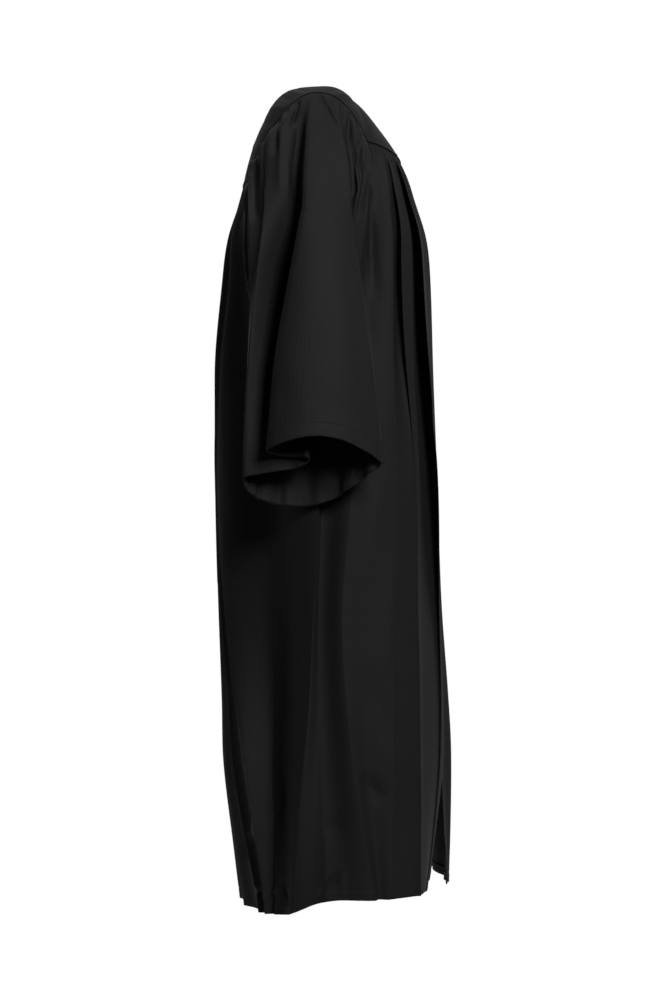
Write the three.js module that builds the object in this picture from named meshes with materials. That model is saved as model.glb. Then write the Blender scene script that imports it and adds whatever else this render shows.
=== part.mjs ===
// A choir gown, worn and hollow: two fronts and a back hung from a smooth yoke,
// two gathered bell sleeves, and a front zip that stops short of the hem.
//
// Millimetres, +Z up. The wearer faces -Y, so the wearer's right is -X. The origin lies
// between the shoulder tips, level with the underside of the yoke where shoulders carry it.
import * as THREE from 'three';

// Driving sizes
const WALL = 1.6;            // thickness of the cloth wall
const SEAM = 0.36;           // clearance between pieces at a seam
const SLEEVE_GAP = 0.45;     // clearance between a sleeve's head and the armhole
const FRONT_CORNER = 57.5;   // angle of the yoke's front corner from centre front
const BACK_CORNER = 141.5;   // angle of the yoke's back corner
const SIDE = 90;             // angle of the side seam
const FRONT_CENTRE_Z = -98;  // yoke seam at centre front
const FRONT_CORNER_Z = -85;
const BACK_CORNER_Z = -140;
const BACK_CENTRE_Z = -143;
const UNDERARM_Z = -232;
const ARMHOLE_ROUND = 1.4;   // how square the armhole's quarter is, 2 being an ellipse
const GATHER_EASE = 30;      // height over which gathers open below a seam
const GATHER_AT_SEAM = 0.2;  // share of a fold's depth left at the seam itself

const SHOULDER_TIP = { x: -195, y: -1, z: -13 };
const NECK = { half: 78, front: 106, back: 66, top: 13, frontDrop: 75, backDrop: 21 };
const TAPE_THICK = 1.0;      // zip tape, behind both centre-front edges
const TAPE_GAP = 0.8;
const ZIP_END = 0.832;       // share of the fronts' length at which the zip stops
const ZIP_GROOVE = 2;        // how far the front edges turn in at the neck, beside the slider
const GROOVE_ANGLE = 10;
const SLIDER = { width: 5, length: 8, thick: 1.4, bevel: 0.3, round: 1.8, gap: 1.1, rise: 0.2 };
const BAIL = { width: 1.4, inner: 1.2, outer: 2.0, leg: 0.9, gap: 0.3 };
const PULL = {
  width: 4.6, length: 22, thick: 1.0, bar: 1.0, eyeWidth: 2.3, eyeLength: 2.9, round: 1.8, tilt: 6,
};

const CLOTH = { color: 0x1c1c1e, roughness: 0.85, metalness: 0 };
const YOKE_CLOTH = { color: 0x1d1d20, roughness: 0.82, metalness: 0 };
const TAPE = { color: 0x17171a, roughness: 0.9, metalness: 0 };
const METAL = { color: 0x6f7073, roughness: 0.35, metalness: 1 };

// Worn form of the body: half width, reach to the front and back, and how square
// the plan is before and behind, at a row of heights
const BODY = [
  { z: -30, half: 186, front: 92, back: 88, squareFront: 2.3, squareBack: 3.6 },
  { z: -70, half: 194, front: 118, back: 99, squareFront: 2.3, squareBack: 4.0 },
  { z: -120, half: 199, front: 144, back: 110, squareFront: 2.3, squareBack: 4.0 },
  { z: -160, half: 202, front: 157, back: 122, squareFront: 2.3, squareBack: 3.9 },
  { z: -220, half: 206, front: 175, back: 141, squareFront: 2.3, squareBack: 3.3 },
  { z: -280, half: 210, front: 181, back: 150, squareFront: 2.3, squareBack: 2.8 },
  { z: -440, half: 222, front: 186, back: 163, squareFront: 2.3, squareBack: 2.5 },
  { z: -630, half: 238, front: 194, back: 162, squareFront: 2.3, squareBack: 2.4 },
  { z: -790, half: 252, front: 200, back: 158, squareFront: 2.3, squareBack: 2.4 },
  { z: -950, half: 268, front: 210, back: 152, squareFront: 2.3, squareBack: 2.4 },
  { z: -1050, half: 278, front: 214, back: 149, squareFront: 2.3, squareBack: 2.4 },
  { z: -1180, half: 290, front: 211, back: 133, squareFront: 2.3, squareBack: 2.4 },
  { z: -1275, half: 297, front: 206, back: 121, squareFront: 2.3, squareBack: 2.4 },
];

// Height of the hem round the body
const HEM = [
  { angle: 0, z: -1243 }, { angle: 45, z: -1229 }, { angle: 90, z: -1222 },
  { angle: 115, z: -1247 }, { angle: 150, z: -1258 }, { angle: 180, z: -1262 },
  { angle: 210, z: -1258 }, { angle: 245, z: -1247 }, { angle: 270, z: -1232 },
  { angle: 315, z: -1236 }, { angle: 352, z: -1250 }, { angle: 360, z: -1249 },
];

// Where each fold is stepped across, as shares of its span
const EVEN = [0, 0.25, 0.5, 0.75];
const FROM_CORNER = [0, 0.06, 0.18, 0.36, 0.6, 0.8];
const TO_CORNER = [0, 0.3, 0.58, 0.8, 0.94];
const TO_FRONT_CORNER = [0, 0.2, 0.4, 0.64, 0.82, 0.94];

// Folds of the body cloth, one crest a row. angle: where the crest runs, degrees from centre
// front round the wearer's right. stand: how far the crest lies off the worn form. depth: of
// the valley after it. Each has six values, at the top seam and at FOLD_LEVELS. edge: how
// crisp the crest is, 1 being a knife edge.
const FOLD_LEVELS = [-280, -600, -850, -1050, -1265];
const RIGHT_FRONT = [
  {
    angle: [0.1, 0.1, 0.1, 0.1, 0.1, 5], stand: [-1, -4, -3, -9, -16, -32],
    depth: [2, 4, 2, 2, 2, 2], edge: 1.6,
  },
  { angle: [11, 8, 6, 7, 9, 13], stand: [0, 0, -1, -7, -14, -29], depth: [4, 9, 3, 2, 2, 3], edge: 1.6 },
  {
    angle: [21, 15.5, 11, 13, 17, 24], stand: [0, 0, 0, -6, -12, -22],
    depth: [4, 9, 4, 3, 3, 3], edge: 1.6,
  },
  {
    angle: [31, 24, 18, 21, 28, 36], stand: [0, 1, 1, -5, -8, -10],
    depth: [5, 26, 26, 12, 8, 6], edge: 1.3,
  },
  { angle: [42.5, 40, 43, 46, 48.5, 48], stand: [0, 2, 1, 1, 1, 0], depth: [5, 14, 6, 4, 5, 6], edge: 1.3 },
  {
    angle: [50, 51.5, 54, 60, 63.5, 67], stand: [0, 0, 0, 0, 0, 0],
    depth: [5, 5, 6, 6, 10, 10], edge: 1.3,
  },
  {
    angle: [57.5, 64, 80, 85, 81, 71], stand: [0, 0, 0, 0, 0, 0],
    depth: [1, 4, 3, 8, 10, 5], edge: 1.5, at: FROM_CORNER,
  },
];
const RIGHT_SEAM = {
  angle: [90, 89, 88.3, 92, 93, 94], stand: [0, -1, -1, -6, -9, -6],
  depth: [1, 2, 2, 3, 2, 3], edge: 1.6,
};
const BACK = [
  RIGHT_SEAM,
  {
    angle: [112, 100, 93, 99.5, 106.5, 118], stand: [0, 0, 0, 0, 0, 0],
    depth: [2, 4, 6, 11, 14, 8], edge: 1.4, at: TO_CORNER,
  },
  {
    angle: [141.5, 128, 114, 117, 121, 127], stand: [0, 0, -16, -22, -16, -2],
    depth: [4, 8, 6, 8, 8, 6], edge: 1.4,
  },
  {
    angle: [150, 147, 157, 146, 135, 132], stand: [0, 0, 0, 0, 0, -2],
    depth: [4, 11, 5, 9, 9, 6], edge: 1.3,
  },
  {
    angle: [158, 157, 165, 155, 147, 137], stand: [0, 0, 0, 0, 0, 0],
    depth: [4, 12, 8, 10, 12, 12], edge: 1.4,
  },
  {
    angle: [166, 167, 171.5, 167, 161, 154], stand: [0, 0, 0, 0, 0, 0],
    depth: [4, 12, 9, 12, 14, 14], edge: 1.5,
  },
  {
    angle: [174.5, 176, 177, 178, 175, 171], stand: [0, 0, 0, 0, 0, 0],
    depth: [4, 10, 8, 12, 14, 14], edge: 1.5,
  },
  {
    angle: [183, 184, 185, 189, 189, 188], stand: [0, 0, 0, 0, 0, 0],
    depth: [4, 11, 10, 12, 12, 13], edge: 1.5,
  },
  {
    angle: [192, 192.5, 196, 200, 203, 204], stand: [0, 0, 0, 0, 0, 0],
    depth: [4, 12, 9, 11, 13, 13], edge: 1.4,
  },
  {
    angle: [201, 202, 208, 212, 217, 221], stand: [0, 0, 0, 0, 0, 0],
    depth: [4, 11, 7, 10, 12, 11], edge: 1.4,
  },
  {
    angle: [210, 213, 222, 226, 231, 237], stand: [0, 0, 0, 0, 0, 0],
    depth: [4, 9, 6, 8, 9, 9], edge: 1.4,
  },
  {
    angle: [218.5, 231, 243, 245, 247, 250], stand: [0, 0, 0, -3, -3, -2],
    depth: [2, 5, 6, 9, 10, 8], edge: 1.4, at: FROM_CORNER,
  },
  {
    angle: [248, 258, 263, 260, 259, 258], stand: [0, 0, 0, 0, 0, 0],
    depth: [1, 3, 3, 5, 6, 5], edge: 1.5,
  },
];
const LEFT_SEAM = {
  angle: [270, 271, 272, 271, 270, 270], stand: [0, -1, -1, -3, -4, -3],
  depth: [1, 3, 2, 4, 5, 4], edge: 1.6, at: TO_FRONT_CORNER,
};
const LEFT_FRONT = [
  LEFT_SEAM,
  {
    angle: [302.5, 297, 284, 281, 283, 287], stand: [0, 0, 0, 0, 0, 0],
    depth: [5, 6, 6, 7, 9, 9], edge: 1.4,
  },
  {
    angle: [310, 309, 304, 300, 299, 298], stand: [0, 0, 0, 0, 0, 0],
    depth: [4, 13, 6, 6, 7, 8], edge: 1.3,
  },
  {
    angle: [318, 321, 318, 314, 313, 312], stand: [0, 0, 0, 0, 0, 0],
    depth: [4, 22, 22, 12, 10, 9], edge: 1.3,
  },
  {
    angle: [326, 334, 339, 334, 331, 329], stand: [0, 0, 0, 0, 0, 0],
    depth: [4, 9, 5, 8, 9, 9], edge: 1.5,
  },
  {
    angle: [338, 343.5, 347, 346, 345, 343], stand: [0, 0, 2, 5, 8, 9],
    depth: [4, 9, 5, 6, 7, 7], edge: 1.5,
  },
  {
    angle: [349.5, 352, 353, 351, 351, 352], stand: [0, 0, 1, 2, 4, 6],
    depth: [2, 4, 2, 2, 2, 2], edge: 1.5,
  },
  {
    angle: [359.9, 359.9, 359.9, 359.9, 359.9, 357.5], stand: [-1, -4, -2, -7, -14, 3],
    depth: [0, 0, 0, 0, 0, 0], edge: 1.5,
  },
];

// Worn form of a sleeve past its head: outer and inner reach sideways, front and back
// reach, and the heights of the outer and inner sides, at shares of its length
const SLEEVE = [
  { at: 0.14, outer: 232, inner: 214, front: -76, back: 112, outerZ: -74, innerZ: -250 },
  { at: 0.30, outer: 262, inner: 221, front: -59, back: 112, outerZ: -165, innerZ: -312 },
  { at: 0.50, outer: 292, inner: 227, front: -73, back: 100, outerZ: -275, innerZ: -402 },
  { at: 0.74, outer: 320, inner: 237, front: -88, back: 104, outerZ: -405, innerZ: -515 },
  { at: 1.00, outer: 345, inner: 249, front: -101, back: 109, outerZ: -540, innerZ: -642 },
];
const HEAD = 0.14;            // share of the length taken by the sleeve's head
const HEAD_OUT = 58;          // how strongly the head leaves the armhole sideways
const HEAD_DROP = 14;
const CUFF_BACK_DROP = 12;
const CUFF_FRONT_RISE = 8;

// Folds of a sleeve. angle: round the sleeve, 0 outermost and 90 in front, at the armhole and
// at the five shares above. turn: 1 where the cloth is pushed forwards, not inwards.
const SLEEVE_FOLDS = [
  {
    angle: [-4, 2, 6, -18, -34, -41], stand: [0, 0, 0, 0, 0, 0],
    depth: [2, 3, 2, 2, 1, 1], edge: 1.5, turn: 0,
  },
  {
    angle: [8, 38, 68, 82, 88, 90], stand: [0, 0, 0, 0, 0, 0],
    depth: [3, 6, 6, 4, 3, 3], edge: 1.2, turn: 0,
  },
  {
    angle: [35, 60, 80, 98, 106, 112], stand: [0, 0, 0, 0, 0, 0],
    depth: [3, 5, 4, 3, 4, 5], edge: 1.4, turn: 0,
  },
  {
    angle: [58, 76, 94, 116, 126, 135], stand: [0, 0, 0, 0, 0, 0],
    depth: [3, 5, 3, 4, 5, 7], edge: 1.4, turn: 0,
  },
  {
    angle: [76, 92, 112, 138, 150, 160], stand: [0, 0, 0, 0, 0, 0],
    depth: [1, 2, 2, 3, 4, 6], edge: 1.6, turn: 0,
  },
  {
    angle: [128, 132, 142, 164, 176, 188], stand: [0, 0, 0, 0, 0, 0],
    depth: [1, 2, 2, 3, 4, 6], edge: 1.6, turn: 0,
  },
  {
    angle: [180, 180, 184, 196, 204, 212], stand: [0, 0, 0, 0, 0, 0],
    depth: [1, 2, 2, 3, 4, 6], edge: 1.6, turn: 0,
  },
  {
    angle: [222, 220, 218, 222, 228, 234], stand: [0, 0, 0, 0, 0, 0],
    depth: [1, 2, 3, 3, 3, 3], edge: 1.6, turn: 0,
  },
  {
    angle: [264, 262, 262, 252, 248, 250], stand: [0, 0, 0, 0, 0, 0],
    depth: [3, 5, 5, 2, 1, 1], edge: 1.5, turn: 0.2,
  },
  {
    angle: [285, 292, 298, 280, 264, 260], stand: [0, 0, 0, 0, 0, 0],
    depth: [3, 8, 9, 3, 2, 1], edge: 1.4, turn: 0.6,
  },
  {
    angle: [302, 312, 318, 296, 278, 270], stand: [0, 0, 0, 0, -2, -6],
    depth: [3, 4, 4, 3, 3, 3], edge: 1.4, turn: 1,
  },
  {
    angle: [332, 337, 340, 317, 298, 288], stand: [0, -3, -8, -38, -62, -74],
    depth: [3, 3, 2, 2, 2, 2], edge: 1.5, turn: 1,
  },
  {
    angle: [345, 351, 355, 333, 315, 306], stand: [0, -2, -8, -36, -60, -76],
    depth: [3, 2, 2, 1, 1, 1], edge: 1.5, turn: 1,
  },
];

// Steps down a body panel and down a sleeve, as shares of the length
const PANEL_STEPS = [
  0, 0.012, 0.03, 0.06, 0.1, 0.15, 0.21, 0.29, 0.38, 0.47, 0.57, 0.67, 0.75, ZIP_END, 0.915, 1,
];
const SLEEVE_STEPS = [0, 0.03, 0.07, 0.12, 0.18, 0.25, 0.34, 0.45, 0.57, 0.7, 0.85, 1];
const YOKE_STEPS = [0, 0.2, 0.4, 0.6, 0.8, 1];
const YOKE_FRONT_ANGLES = [0.1, GROOVE_ANGLE, 20, 30, 40, 50, FRONT_CORNER, 66, 74, 82, SIDE];
const YOKE_BACK_ANGLES = [SIDE, 99, 108, 117, 126, 134, BACK_CORNER, 151, 160, 170, 180];

const radians = THREE.MathUtils.degToRad;
const clamp = THREE.MathUtils.clamp;
const lerp = THREE.MathUtils.lerp;

// Cubic through v1 and v2 with slopes m1 and m2, at share t
function hermite(v1, v2, m1, m2, t) {
  const t2 = t * t;
  const t3 = t2 * t;
  return (2 * t3 - 3 * t2 + 1) * v1 + (t3 - 2 * t2 + t) * m1 + (3 * t2 - 2 * t3) * v2 + (t3 - t2) * m2;
}

// Smooth curve through values at uneven rising or falling stations; level at each turning
// value, so it never runs past the values it is given
function curve(stations, values, x) {
  const last = stations.length - 1;
  const sign = stations[last] > stations[0] ? 1 : -1;
  const at = clamp(x * sign, stations[0] * sign, stations[last] * sign);
  let i = 0;
  while (i < last - 1 && at >= stations[i + 1] * sign) i += 1;
  const slope = (k) => {
    const a = Math.max(k - 1, 0);
    const b = Math.min(k + 1, last);
    const turns = a < k && k < b && (values[k] - values[a]) * (values[b] - values[k]) <= 0;
    return turns ? 0 : (values[b] - values[a]) / ((stations[b] - stations[a]) * sign);
  };
  const span = (stations[i + 1] - stations[i]) * sign;
  const t = (at - stations[i] * sign) / span;
  return hermite(values[i], values[i + 1], slope(i) * span, slope(i + 1) * span, t);
}

function column(table, key) {
  return table.map((row) => row[key]);
}

const BODY_AT = column(BODY, 'z');
const BODY_COLUMNS = {};
for (const key of ['half', 'front', 'back', 'squareFront', 'squareBack']) {
  BODY_COLUMNS[key] = column(BODY, key);
}

// Point of the worn form at an angle from centre front and a height
function bodyPoint(angle, z) {
  const at = {};
  for (const key of Object.keys(BODY_COLUMNS)) at[key] = curve(BODY_AT, BODY_COLUMNS[key], z);
  const turn = radians(angle);
  const power = at.squareFront + (at.squareBack - at.squareFront) * (1 - Math.cos(turn)) / 2;
  const reach = (Math.abs(Math.cos(turn)) ** power + Math.abs(Math.sin(turn)) ** power) ** (-1 / power);
  const centre = (at.back - at.front) / 2;
  const depth = (at.front + at.back) / 2;
  return new THREE.Vector3(-at.half * reach * Math.sin(turn), centre - depth * reach * Math.cos(turn), z);
}

// Level direction straight out of the worn form
function bodyOut(angle, z) {
  const along = bodyPoint(angle + 0.5, z).sub(bodyPoint(angle - 0.5, z));
  return new THREE.Vector3(-along.y, along.x, 0).normalize();
}

// Quarter of the armhole: share of its depth at a share of its width from the corner
function armholeDepth(share) {
  const s = clamp(share, 0, 1);
  return (1 - (1 - s) ** ARMHOLE_ROUND) ** (1 / ARMHOLE_ROUND);
}

// Height of the body panels' top edge: yoke seam, then armhole, then yoke seam
function topZ(angle) {
  const turn = ((angle % 360) + 360) % 360;
  const a = turn > 180 ? 360 - turn : turn;
  if (a <= FRONT_CORNER) return lerp(FRONT_CENTRE_Z, FRONT_CORNER_Z, (a / FRONT_CORNER) ** 1.5);
  if (a <= SIDE) {
    return lerp(FRONT_CORNER_Z, UNDERARM_Z, armholeDepth((a - FRONT_CORNER) / (SIDE - FRONT_CORNER)));
  }
  if (a <= BACK_CORNER) {
    return lerp(BACK_CORNER_Z, UNDERARM_Z, armholeDepth((BACK_CORNER - a) / (BACK_CORNER - SIDE)));
  }
  return lerp(BACK_CORNER_Z, BACK_CENTRE_Z, (a - BACK_CORNER) / (180 - BACK_CORNER));
}

function hemZ(angle) {
  return curve(column(HEM, 'angle'), column(HEM, 'z'), angle);
}

// Reading of a row of folds at fold q (whole numbers are crests): blends the values got by
// read(row), the stand with a smooth curve, the valley with a rounded trough
function foldAt(rows, q, read, closed) {
  const last = rows.length - 1;
  const k = clamp(Math.floor(q), 0, last - 1);
  const t = q - k;
  const before = closed ? (k + last - 1) % last : Math.max(k - 1, 0);
  const after = closed ? (k + 2) % last : Math.min(k + 2, last);
  const here = read(rows[k]);
  const next = read(rows[k + 1]);
  const slope1 = (next.stand - read(rows[before]).stand) / 2;
  const slope2 = (read(rows[after]).stand - here.stand) / 2;
  const valley = here.depth * Math.sin(Math.PI * t) ** rows[k].edge;
  return {
    angle: lerp(here.angle, next.angle, t),
    turn: lerp(here.turn, next.turn, t),
    out: hermite(here.stand, next.stand, slope1, slope2, t) - valley,
  };
}

// Stations across a panel: fold numbers of its columns
function stationsAcross(rows) {
  const stations = [];
  for (let k = 0; k < rows.length - 1; k += 1) {
    for (const share of rows[k].at ?? EVEN) stations.push(k + share);
  }
  stations.push(rows.length - 1);
  return stations;
}

// Point of a body panel's outer face at fold q, a share v of the way from seam to hem
function panelPoint(rows, q, v) {
  const k = clamp(Math.floor(q), 0, rows.length - 2);
  const topAngle = lerp(rows[k].angle[0], rows[k + 1].angle[0], q - k);
  const hemAngle = lerp(rows[k].angle[5], rows[k + 1].angle[5], q - k);
  const top = topZ(topAngle) - SEAM;
  const z = lerp(top, hemZ(hemAngle), v);
  const read = (row) => {
    const levels = [topZ(row.angle[0]), ...FOLD_LEVELS];
    return {
      angle: curve(levels, row.angle, z),
      stand: curve(levels, row.stand, z),
      depth: curve(levels, row.depth, z),
      turn: 0,
    };
  };
  const fold = foldAt(rows, q, read, false);
  const angle = v === 0 ? topAngle : fold.angle;
  const ease = THREE.MathUtils.smoothstep(top - z, 0, GATHER_EASE);
  const out = fold.out * lerp(GATHER_AT_SEAM, 1, ease);
  return bodyPoint(angle, z).addScaledVector(bodyOut(angle, z), out);
}

// Neck edge at an angle: a V in front, round behind
function neckPoint(angle) {
  const a = angle > 180 ? 360 - angle : angle;
  const side = angle > 180 ? 1 : -1;
  if (a <= SIDE) {
    const u = a / SIDE;
    const y = -NECK.front * (1 - u);
    const x = NECK.half * (1 - (1 - u) ** 1.6);
    return new THREE.Vector3(side * x, y, NECK.top - NECK.frontDrop * (1 - u) ** 2.2);
  }
  const turn = radians(a - SIDE);
  const round = 2 / 2.4;
  const y = NECK.back * Math.sin(turn) ** round;
  const x = NECK.half * Math.abs(Math.cos(turn)) ** round;
  return new THREE.Vector3(side * x, y, NECK.top - NECK.backDrop * (y / NECK.back) ** 3);
}

// Outer edge of the yoke: seam, shoulder edge over the sleeve's head, seam
function rimPoint(angle) {
  const a = angle > 180 ? 360 - angle : angle;
  const side = angle > 180 ? -1 : 1;
  const tip = new THREE.Vector3(SHOULDER_TIP.x, SHOULDER_TIP.y, SHOULDER_TIP.z);
  let point;
  if (a <= FRONT_CORNER || a >= BACK_CORNER) {
    point = bodyPoint(a, topZ(a));
  } else {
    const front = a <= SIDE;
    const cornerAngle = front ? FRONT_CORNER : BACK_CORNER;
    const corner = bodyPoint(cornerAngle, topZ(cornerAngle));
    const t = (a - SIDE) / (cornerAngle - SIDE);
    point = new THREE.Vector3(
      lerp(tip.x, corner.x, t ** (front ? 2 : 2.2)),
      lerp(tip.y, corner.y, t),
      lerp(tip.z, corner.z, t ** (front ? 2.4 : 2.05)),
    );
  }
  point.x *= side;
  return point;
}

// Point of the yoke's outer face: it lies over the shoulder's round between neck and rim
function yokePoint(angle, s) {
  const a = angle > 180 ? 360 - angle : angle;
  const neck = neckPoint(angle);
  const rim = rimPoint(angle);
  const middle = neck.clone().lerp(rim, 0.5);
  const lift = new THREE.Vector3(middle.x / 150, middle.y / 150, 0.75).normalize();
  const bulge = 3 + 16 * Math.exp(-(((a - 61) / 21) ** 2)) + 18 * Math.exp(-(((a - 130) / 25) ** 2));
  const groove = ZIP_GROOVE * (1 - s) * Math.max(0, 1 - a / GROOVE_ANGLE);
  return neck.lerp(rim, s).addScaledVector(lift, bulge * 4 * s * (1 - s) - groove);
}

// Line of points read by its length
function measuredLine(points) {
  const lengths = [0];
  for (let i = 1; i < points.length; i += 1) {
    lengths.push(lengths[i - 1] + points[i].distanceTo(points[i - 1]));
  }
  const total = lengths[lengths.length - 1];
  return (share) => {
    const at = clamp(share, 0, 1) * total;
    let i = 1;
    while (i < points.length - 1 && lengths[i] < at) i += 1;
    return points[i - 1].clone().lerp(points[i], (at - lengths[i - 1]) / (lengths[i] - lengths[i - 1]));
  };
}

// Armhole of the right side: yoke's rim from the shoulder tip, then the panel's edge
function armholeHalf(yokeAngles, rows) {
  const points = yokeAngles.map((angle) => rimPoint(angle));
  const panelAngles = stationsAcross(rows).map((q) => {
    const k = Math.min(Math.floor(q), rows.length - 2);
    return lerp(rows[k].angle[0], rows[k + 1].angle[0], q - k);
  });
  const low = Math.min(yokeAngles[yokeAngles.length - 1], SIDE);
  const high = Math.max(yokeAngles[yokeAngles.length - 1], SIDE);
  const edge = panelAngles.filter((angle) => angle > low + 0.01 && angle < high - 0.01);
  if (low !== SIDE) edge.sort((a, b) => a - b);
  else edge.sort((a, b) => b - a);
  for (const angle of [...edge, SIDE]) points.push(bodyPoint(angle, topZ(angle)));
  return measuredLine(points);
}
const SHOULDER_FRONT_ANGLES = [...YOKE_FRONT_ANGLES].reverse().filter((a) => a >= FRONT_CORNER);
const SHOULDER_BACK_ANGLES = YOKE_BACK_ANGLES.filter((a) => a <= BACK_CORNER);
const ARMHOLE_FRONT = armholeHalf(SHOULDER_FRONT_ANGLES, [...RIGHT_FRONT, RIGHT_SEAM]);
const ARMHOLE_BACK = armholeHalf(SHOULDER_BACK_ANGLES, BACK.slice(0, 3));

function armholePoint(angle) {
  const turn = ((angle % 360) + 360) % 360;
  const point = turn <= 180 ? ARMHOLE_FRONT(turn / 180) : ARMHOLE_BACK((360 - turn) / 180);
  point.x -= SLEEVE_GAP;
  return point;
}

const SLEEVE_AT = column(SLEEVE, 'at');
const SLEEVE_LEVELS = [0, ...SLEEVE_AT];

// Ring of the sleeve's worn form past its head
function sleeveRing(angle, v) {
  const at = {};
  for (const key of ['outer', 'inner', 'front', 'back', 'outerZ', 'innerZ']) {
    at[key] = curve(SLEEVE_AT, column(SLEEVE, key), v);
  }
  const c = Math.cos(radians(angle));
  const s = Math.sin(radians(angle));
  const out = (at.outer + at.inner) / 2 + (at.outer - at.inner) / 2 * c;
  const y = (at.front + at.back) / 2 - (at.back - at.front) / 2 * s;
  const tilt = s < 0 ? CUFF_BACK_DROP * s : CUFF_FRONT_RISE * s;
  const z = (at.outerZ + at.innerZ) / 2 + (at.outerZ - at.innerZ) / 2 * c;
  return new THREE.Vector3(-out, y, z + tilt * v);
}

// Point of the sleeve's worn form: the head swings from the armhole into the first ring
function sleeveForm(angle, v) {
  if (v >= HEAD) return sleeveRing(angle, v);
  const start = armholePoint(angle);
  const end = sleeveRing(angle, HEAD);
  const step = 0.02;
  const arrive = sleeveRing(angle, HEAD + step).sub(end).multiplyScalar(HEAD / step);
  const leave = new THREE.Vector3(-HEAD_OUT, 0, -HEAD_DROP * (1 + Math.cos(radians(angle))));
  const t = v / HEAD;
  return new THREE.Vector3(
    hermite(start.x, end.x, leave.x, arrive.x, t),
    hermite(start.y, end.y, leave.y, arrive.y, t),
    hermite(start.z, end.z, leave.z, arrive.z, t),
  );
}

// Point of the right sleeve's outer face at fold q, a share v of the way to the cuff
function sleevePoint(rows, q, v) {
  const read = (row) => ({
    angle: curve(SLEEVE_LEVELS, row.angle, v),
    stand: curve(SLEEVE_LEVELS, row.stand, v),
    depth: curve(SLEEVE_LEVELS, row.depth, v),
    turn: row.turn,
  });
  const fold = foldAt(rows, q, read, true);
  const form = sleeveForm(fold.angle, v);
  const round = sleeveForm(fold.angle + 1, v).sub(sleeveForm(fold.angle - 1, v));
  const below = sleeveForm(fold.angle, Math.min(v + 0.01, 1));
  const down = below.sub(sleeveForm(fold.angle, Math.max(v - 0.01, 0)));
  const out = down.cross(round).normalize();
  const away = form.clone().sub(sleeveForm(0, v).lerp(sleeveForm(180, v), 0.5));
  if (out.dot(away) < 0) out.negate();
  const push = out.multiplyScalar(1 - fold.turn).add(new THREE.Vector3(0, fold.turn, 0)).normalize();
  const ramp = clamp(v / 0.05, 0.25, 1);
  return form.addScaledVector(push, fold.out * ramp);
}

// Closed wall of cloth from a grid of outer points, grid[across][down]. facing is 1 where
// across x down points out of the cloth's face, else -1. level names the part of the wall's
// direction that is dropped at each edge, so that neighbours meet square. under sinks the
// whole wall below the grid, for what lies behind another piece.
function clothWall(grid, { facing = 1, closed = false, thick = WALL, under = 0, level = {} }) {
  const across = grid.length;
  const down = grid[0].length;
  const inward = grid.map((line, i) => line.map((point, j) => {
    const left = grid[closed ? (i + across - 1) % across : Math.max(i - 1, 0)][j];
    const right = grid[closed ? (i + 1) % across : Math.min(i + 1, across - 1)][j];
    const above = line[Math.max(j - 1, 0)];
    const below = line[Math.min(j + 1, down - 1)];
    const out = right.clone().sub(left).cross(below.clone().sub(above)).multiplyScalar(facing);
    const drop = [
      !closed && i === 0 ? level.first : null,
      !closed && i === across - 1 ? level.last : null,
      j === 0 ? level.top : null,
      j === down - 1 ? level.bottom : null,
    ];
    for (const part of drop) {
      const axis = typeof part === 'function' ? part(i) : part;
      if (axis) out[axis] = 0;
    }
    return out.normalize().negate();
  }));

  const positions = [];
  const index = [];
  for (const sink of [under, under + thick]) {
    grid.forEach((line, i) => line.forEach((point, j) => {
      positions.push(...point.clone().addScaledVector(inward[i][j], sink).toArray());
    }));
  }
  const id = (layer, i, j) => (layer * across + (i % across)) * down + j;
  const quad = (a, b, c, d) => {
    if (facing > 0) index.push(a, b, c, a, c, d);
    else index.push(a, c, b, a, d, c);
  };
  const spans = closed ? across : across - 1;
  for (let i = 0; i < spans; i += 1) {
    for (let j = 0; j < down - 1; j += 1) {
      quad(id(0, i, j), id(0, i + 1, j), id(0, i + 1, j + 1), id(0, i, j + 1));
      quad(id(1, i, j), id(1, i, j + 1), id(1, i + 1, j + 1), id(1, i + 1, j));
    }
    const end = down - 1;
    quad(id(0, i, 0), id(1, i, 0), id(1, i + 1, 0), id(0, i + 1, 0));
    quad(id(0, i, end), id(0, i + 1, end), id(1, i + 1, end), id(1, i, end));
  }
  if (!closed) {
    const end = across - 1;
    for (let j = 0; j < down - 1; j += 1) {
      quad(id(0, 0, j), id(0, 0, j + 1), id(1, 0, j + 1), id(1, 0, j));
      quad(id(0, end, j), id(1, end, j), id(1, end, j + 1), id(0, end, j + 1));
    }
  }
  const geometry = new THREE.BufferGeometry();
  geometry.setAttribute('position', new THREE.Float32BufferAttribute(positions, 3));
  geometry.setIndex(index);
  geometry.computeVertexNormals();
  return geometry;
}

function mesh(name, geometry, look) {
  const piece = new THREE.Mesh(geometry, new THREE.MeshStandardMaterial(look));
  piece.name = name;
  return piece;
}

// Body panel from its rows of folds; shift moves its first and last edges off its neighbours
function bodyPanel(name, rows, shift, level) {
  const grid = stationsAcross(rows).map((q) => PANEL_STEPS.map((v) => panelPoint(rows, q, v)));
  for (const point of grid[0]) point.y += shift.first;
  for (const point of grid[grid.length - 1]) point.y += shift.last;
  return mesh(name, clothWall(grid, { level: { ...level, top: 'z' } }), CLOTH);
}

// Yoke piece between two edges; the rim's wall runs level at the seam and upright at the sleeve
function yokePiece(name, angles, shift, level) {
  const grid = angles.map((angle) => YOKE_STEPS.map((s) => yokePoint(angle, s)));
  for (const point of grid[0]) point.y += shift.first;
  for (const point of grid[grid.length - 1]) point.y += shift.last;
  const bottom = (i) => {
    const a = angles[i] > 180 ? 360 - angles[i] : angles[i];
    return a <= FRONT_CORNER || a >= BACK_CORNER ? 'z' : 'x';
  };
  return mesh(name, clothWall(grid, { level: { ...level, bottom } }), YOKE_CLOTH);
}

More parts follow.
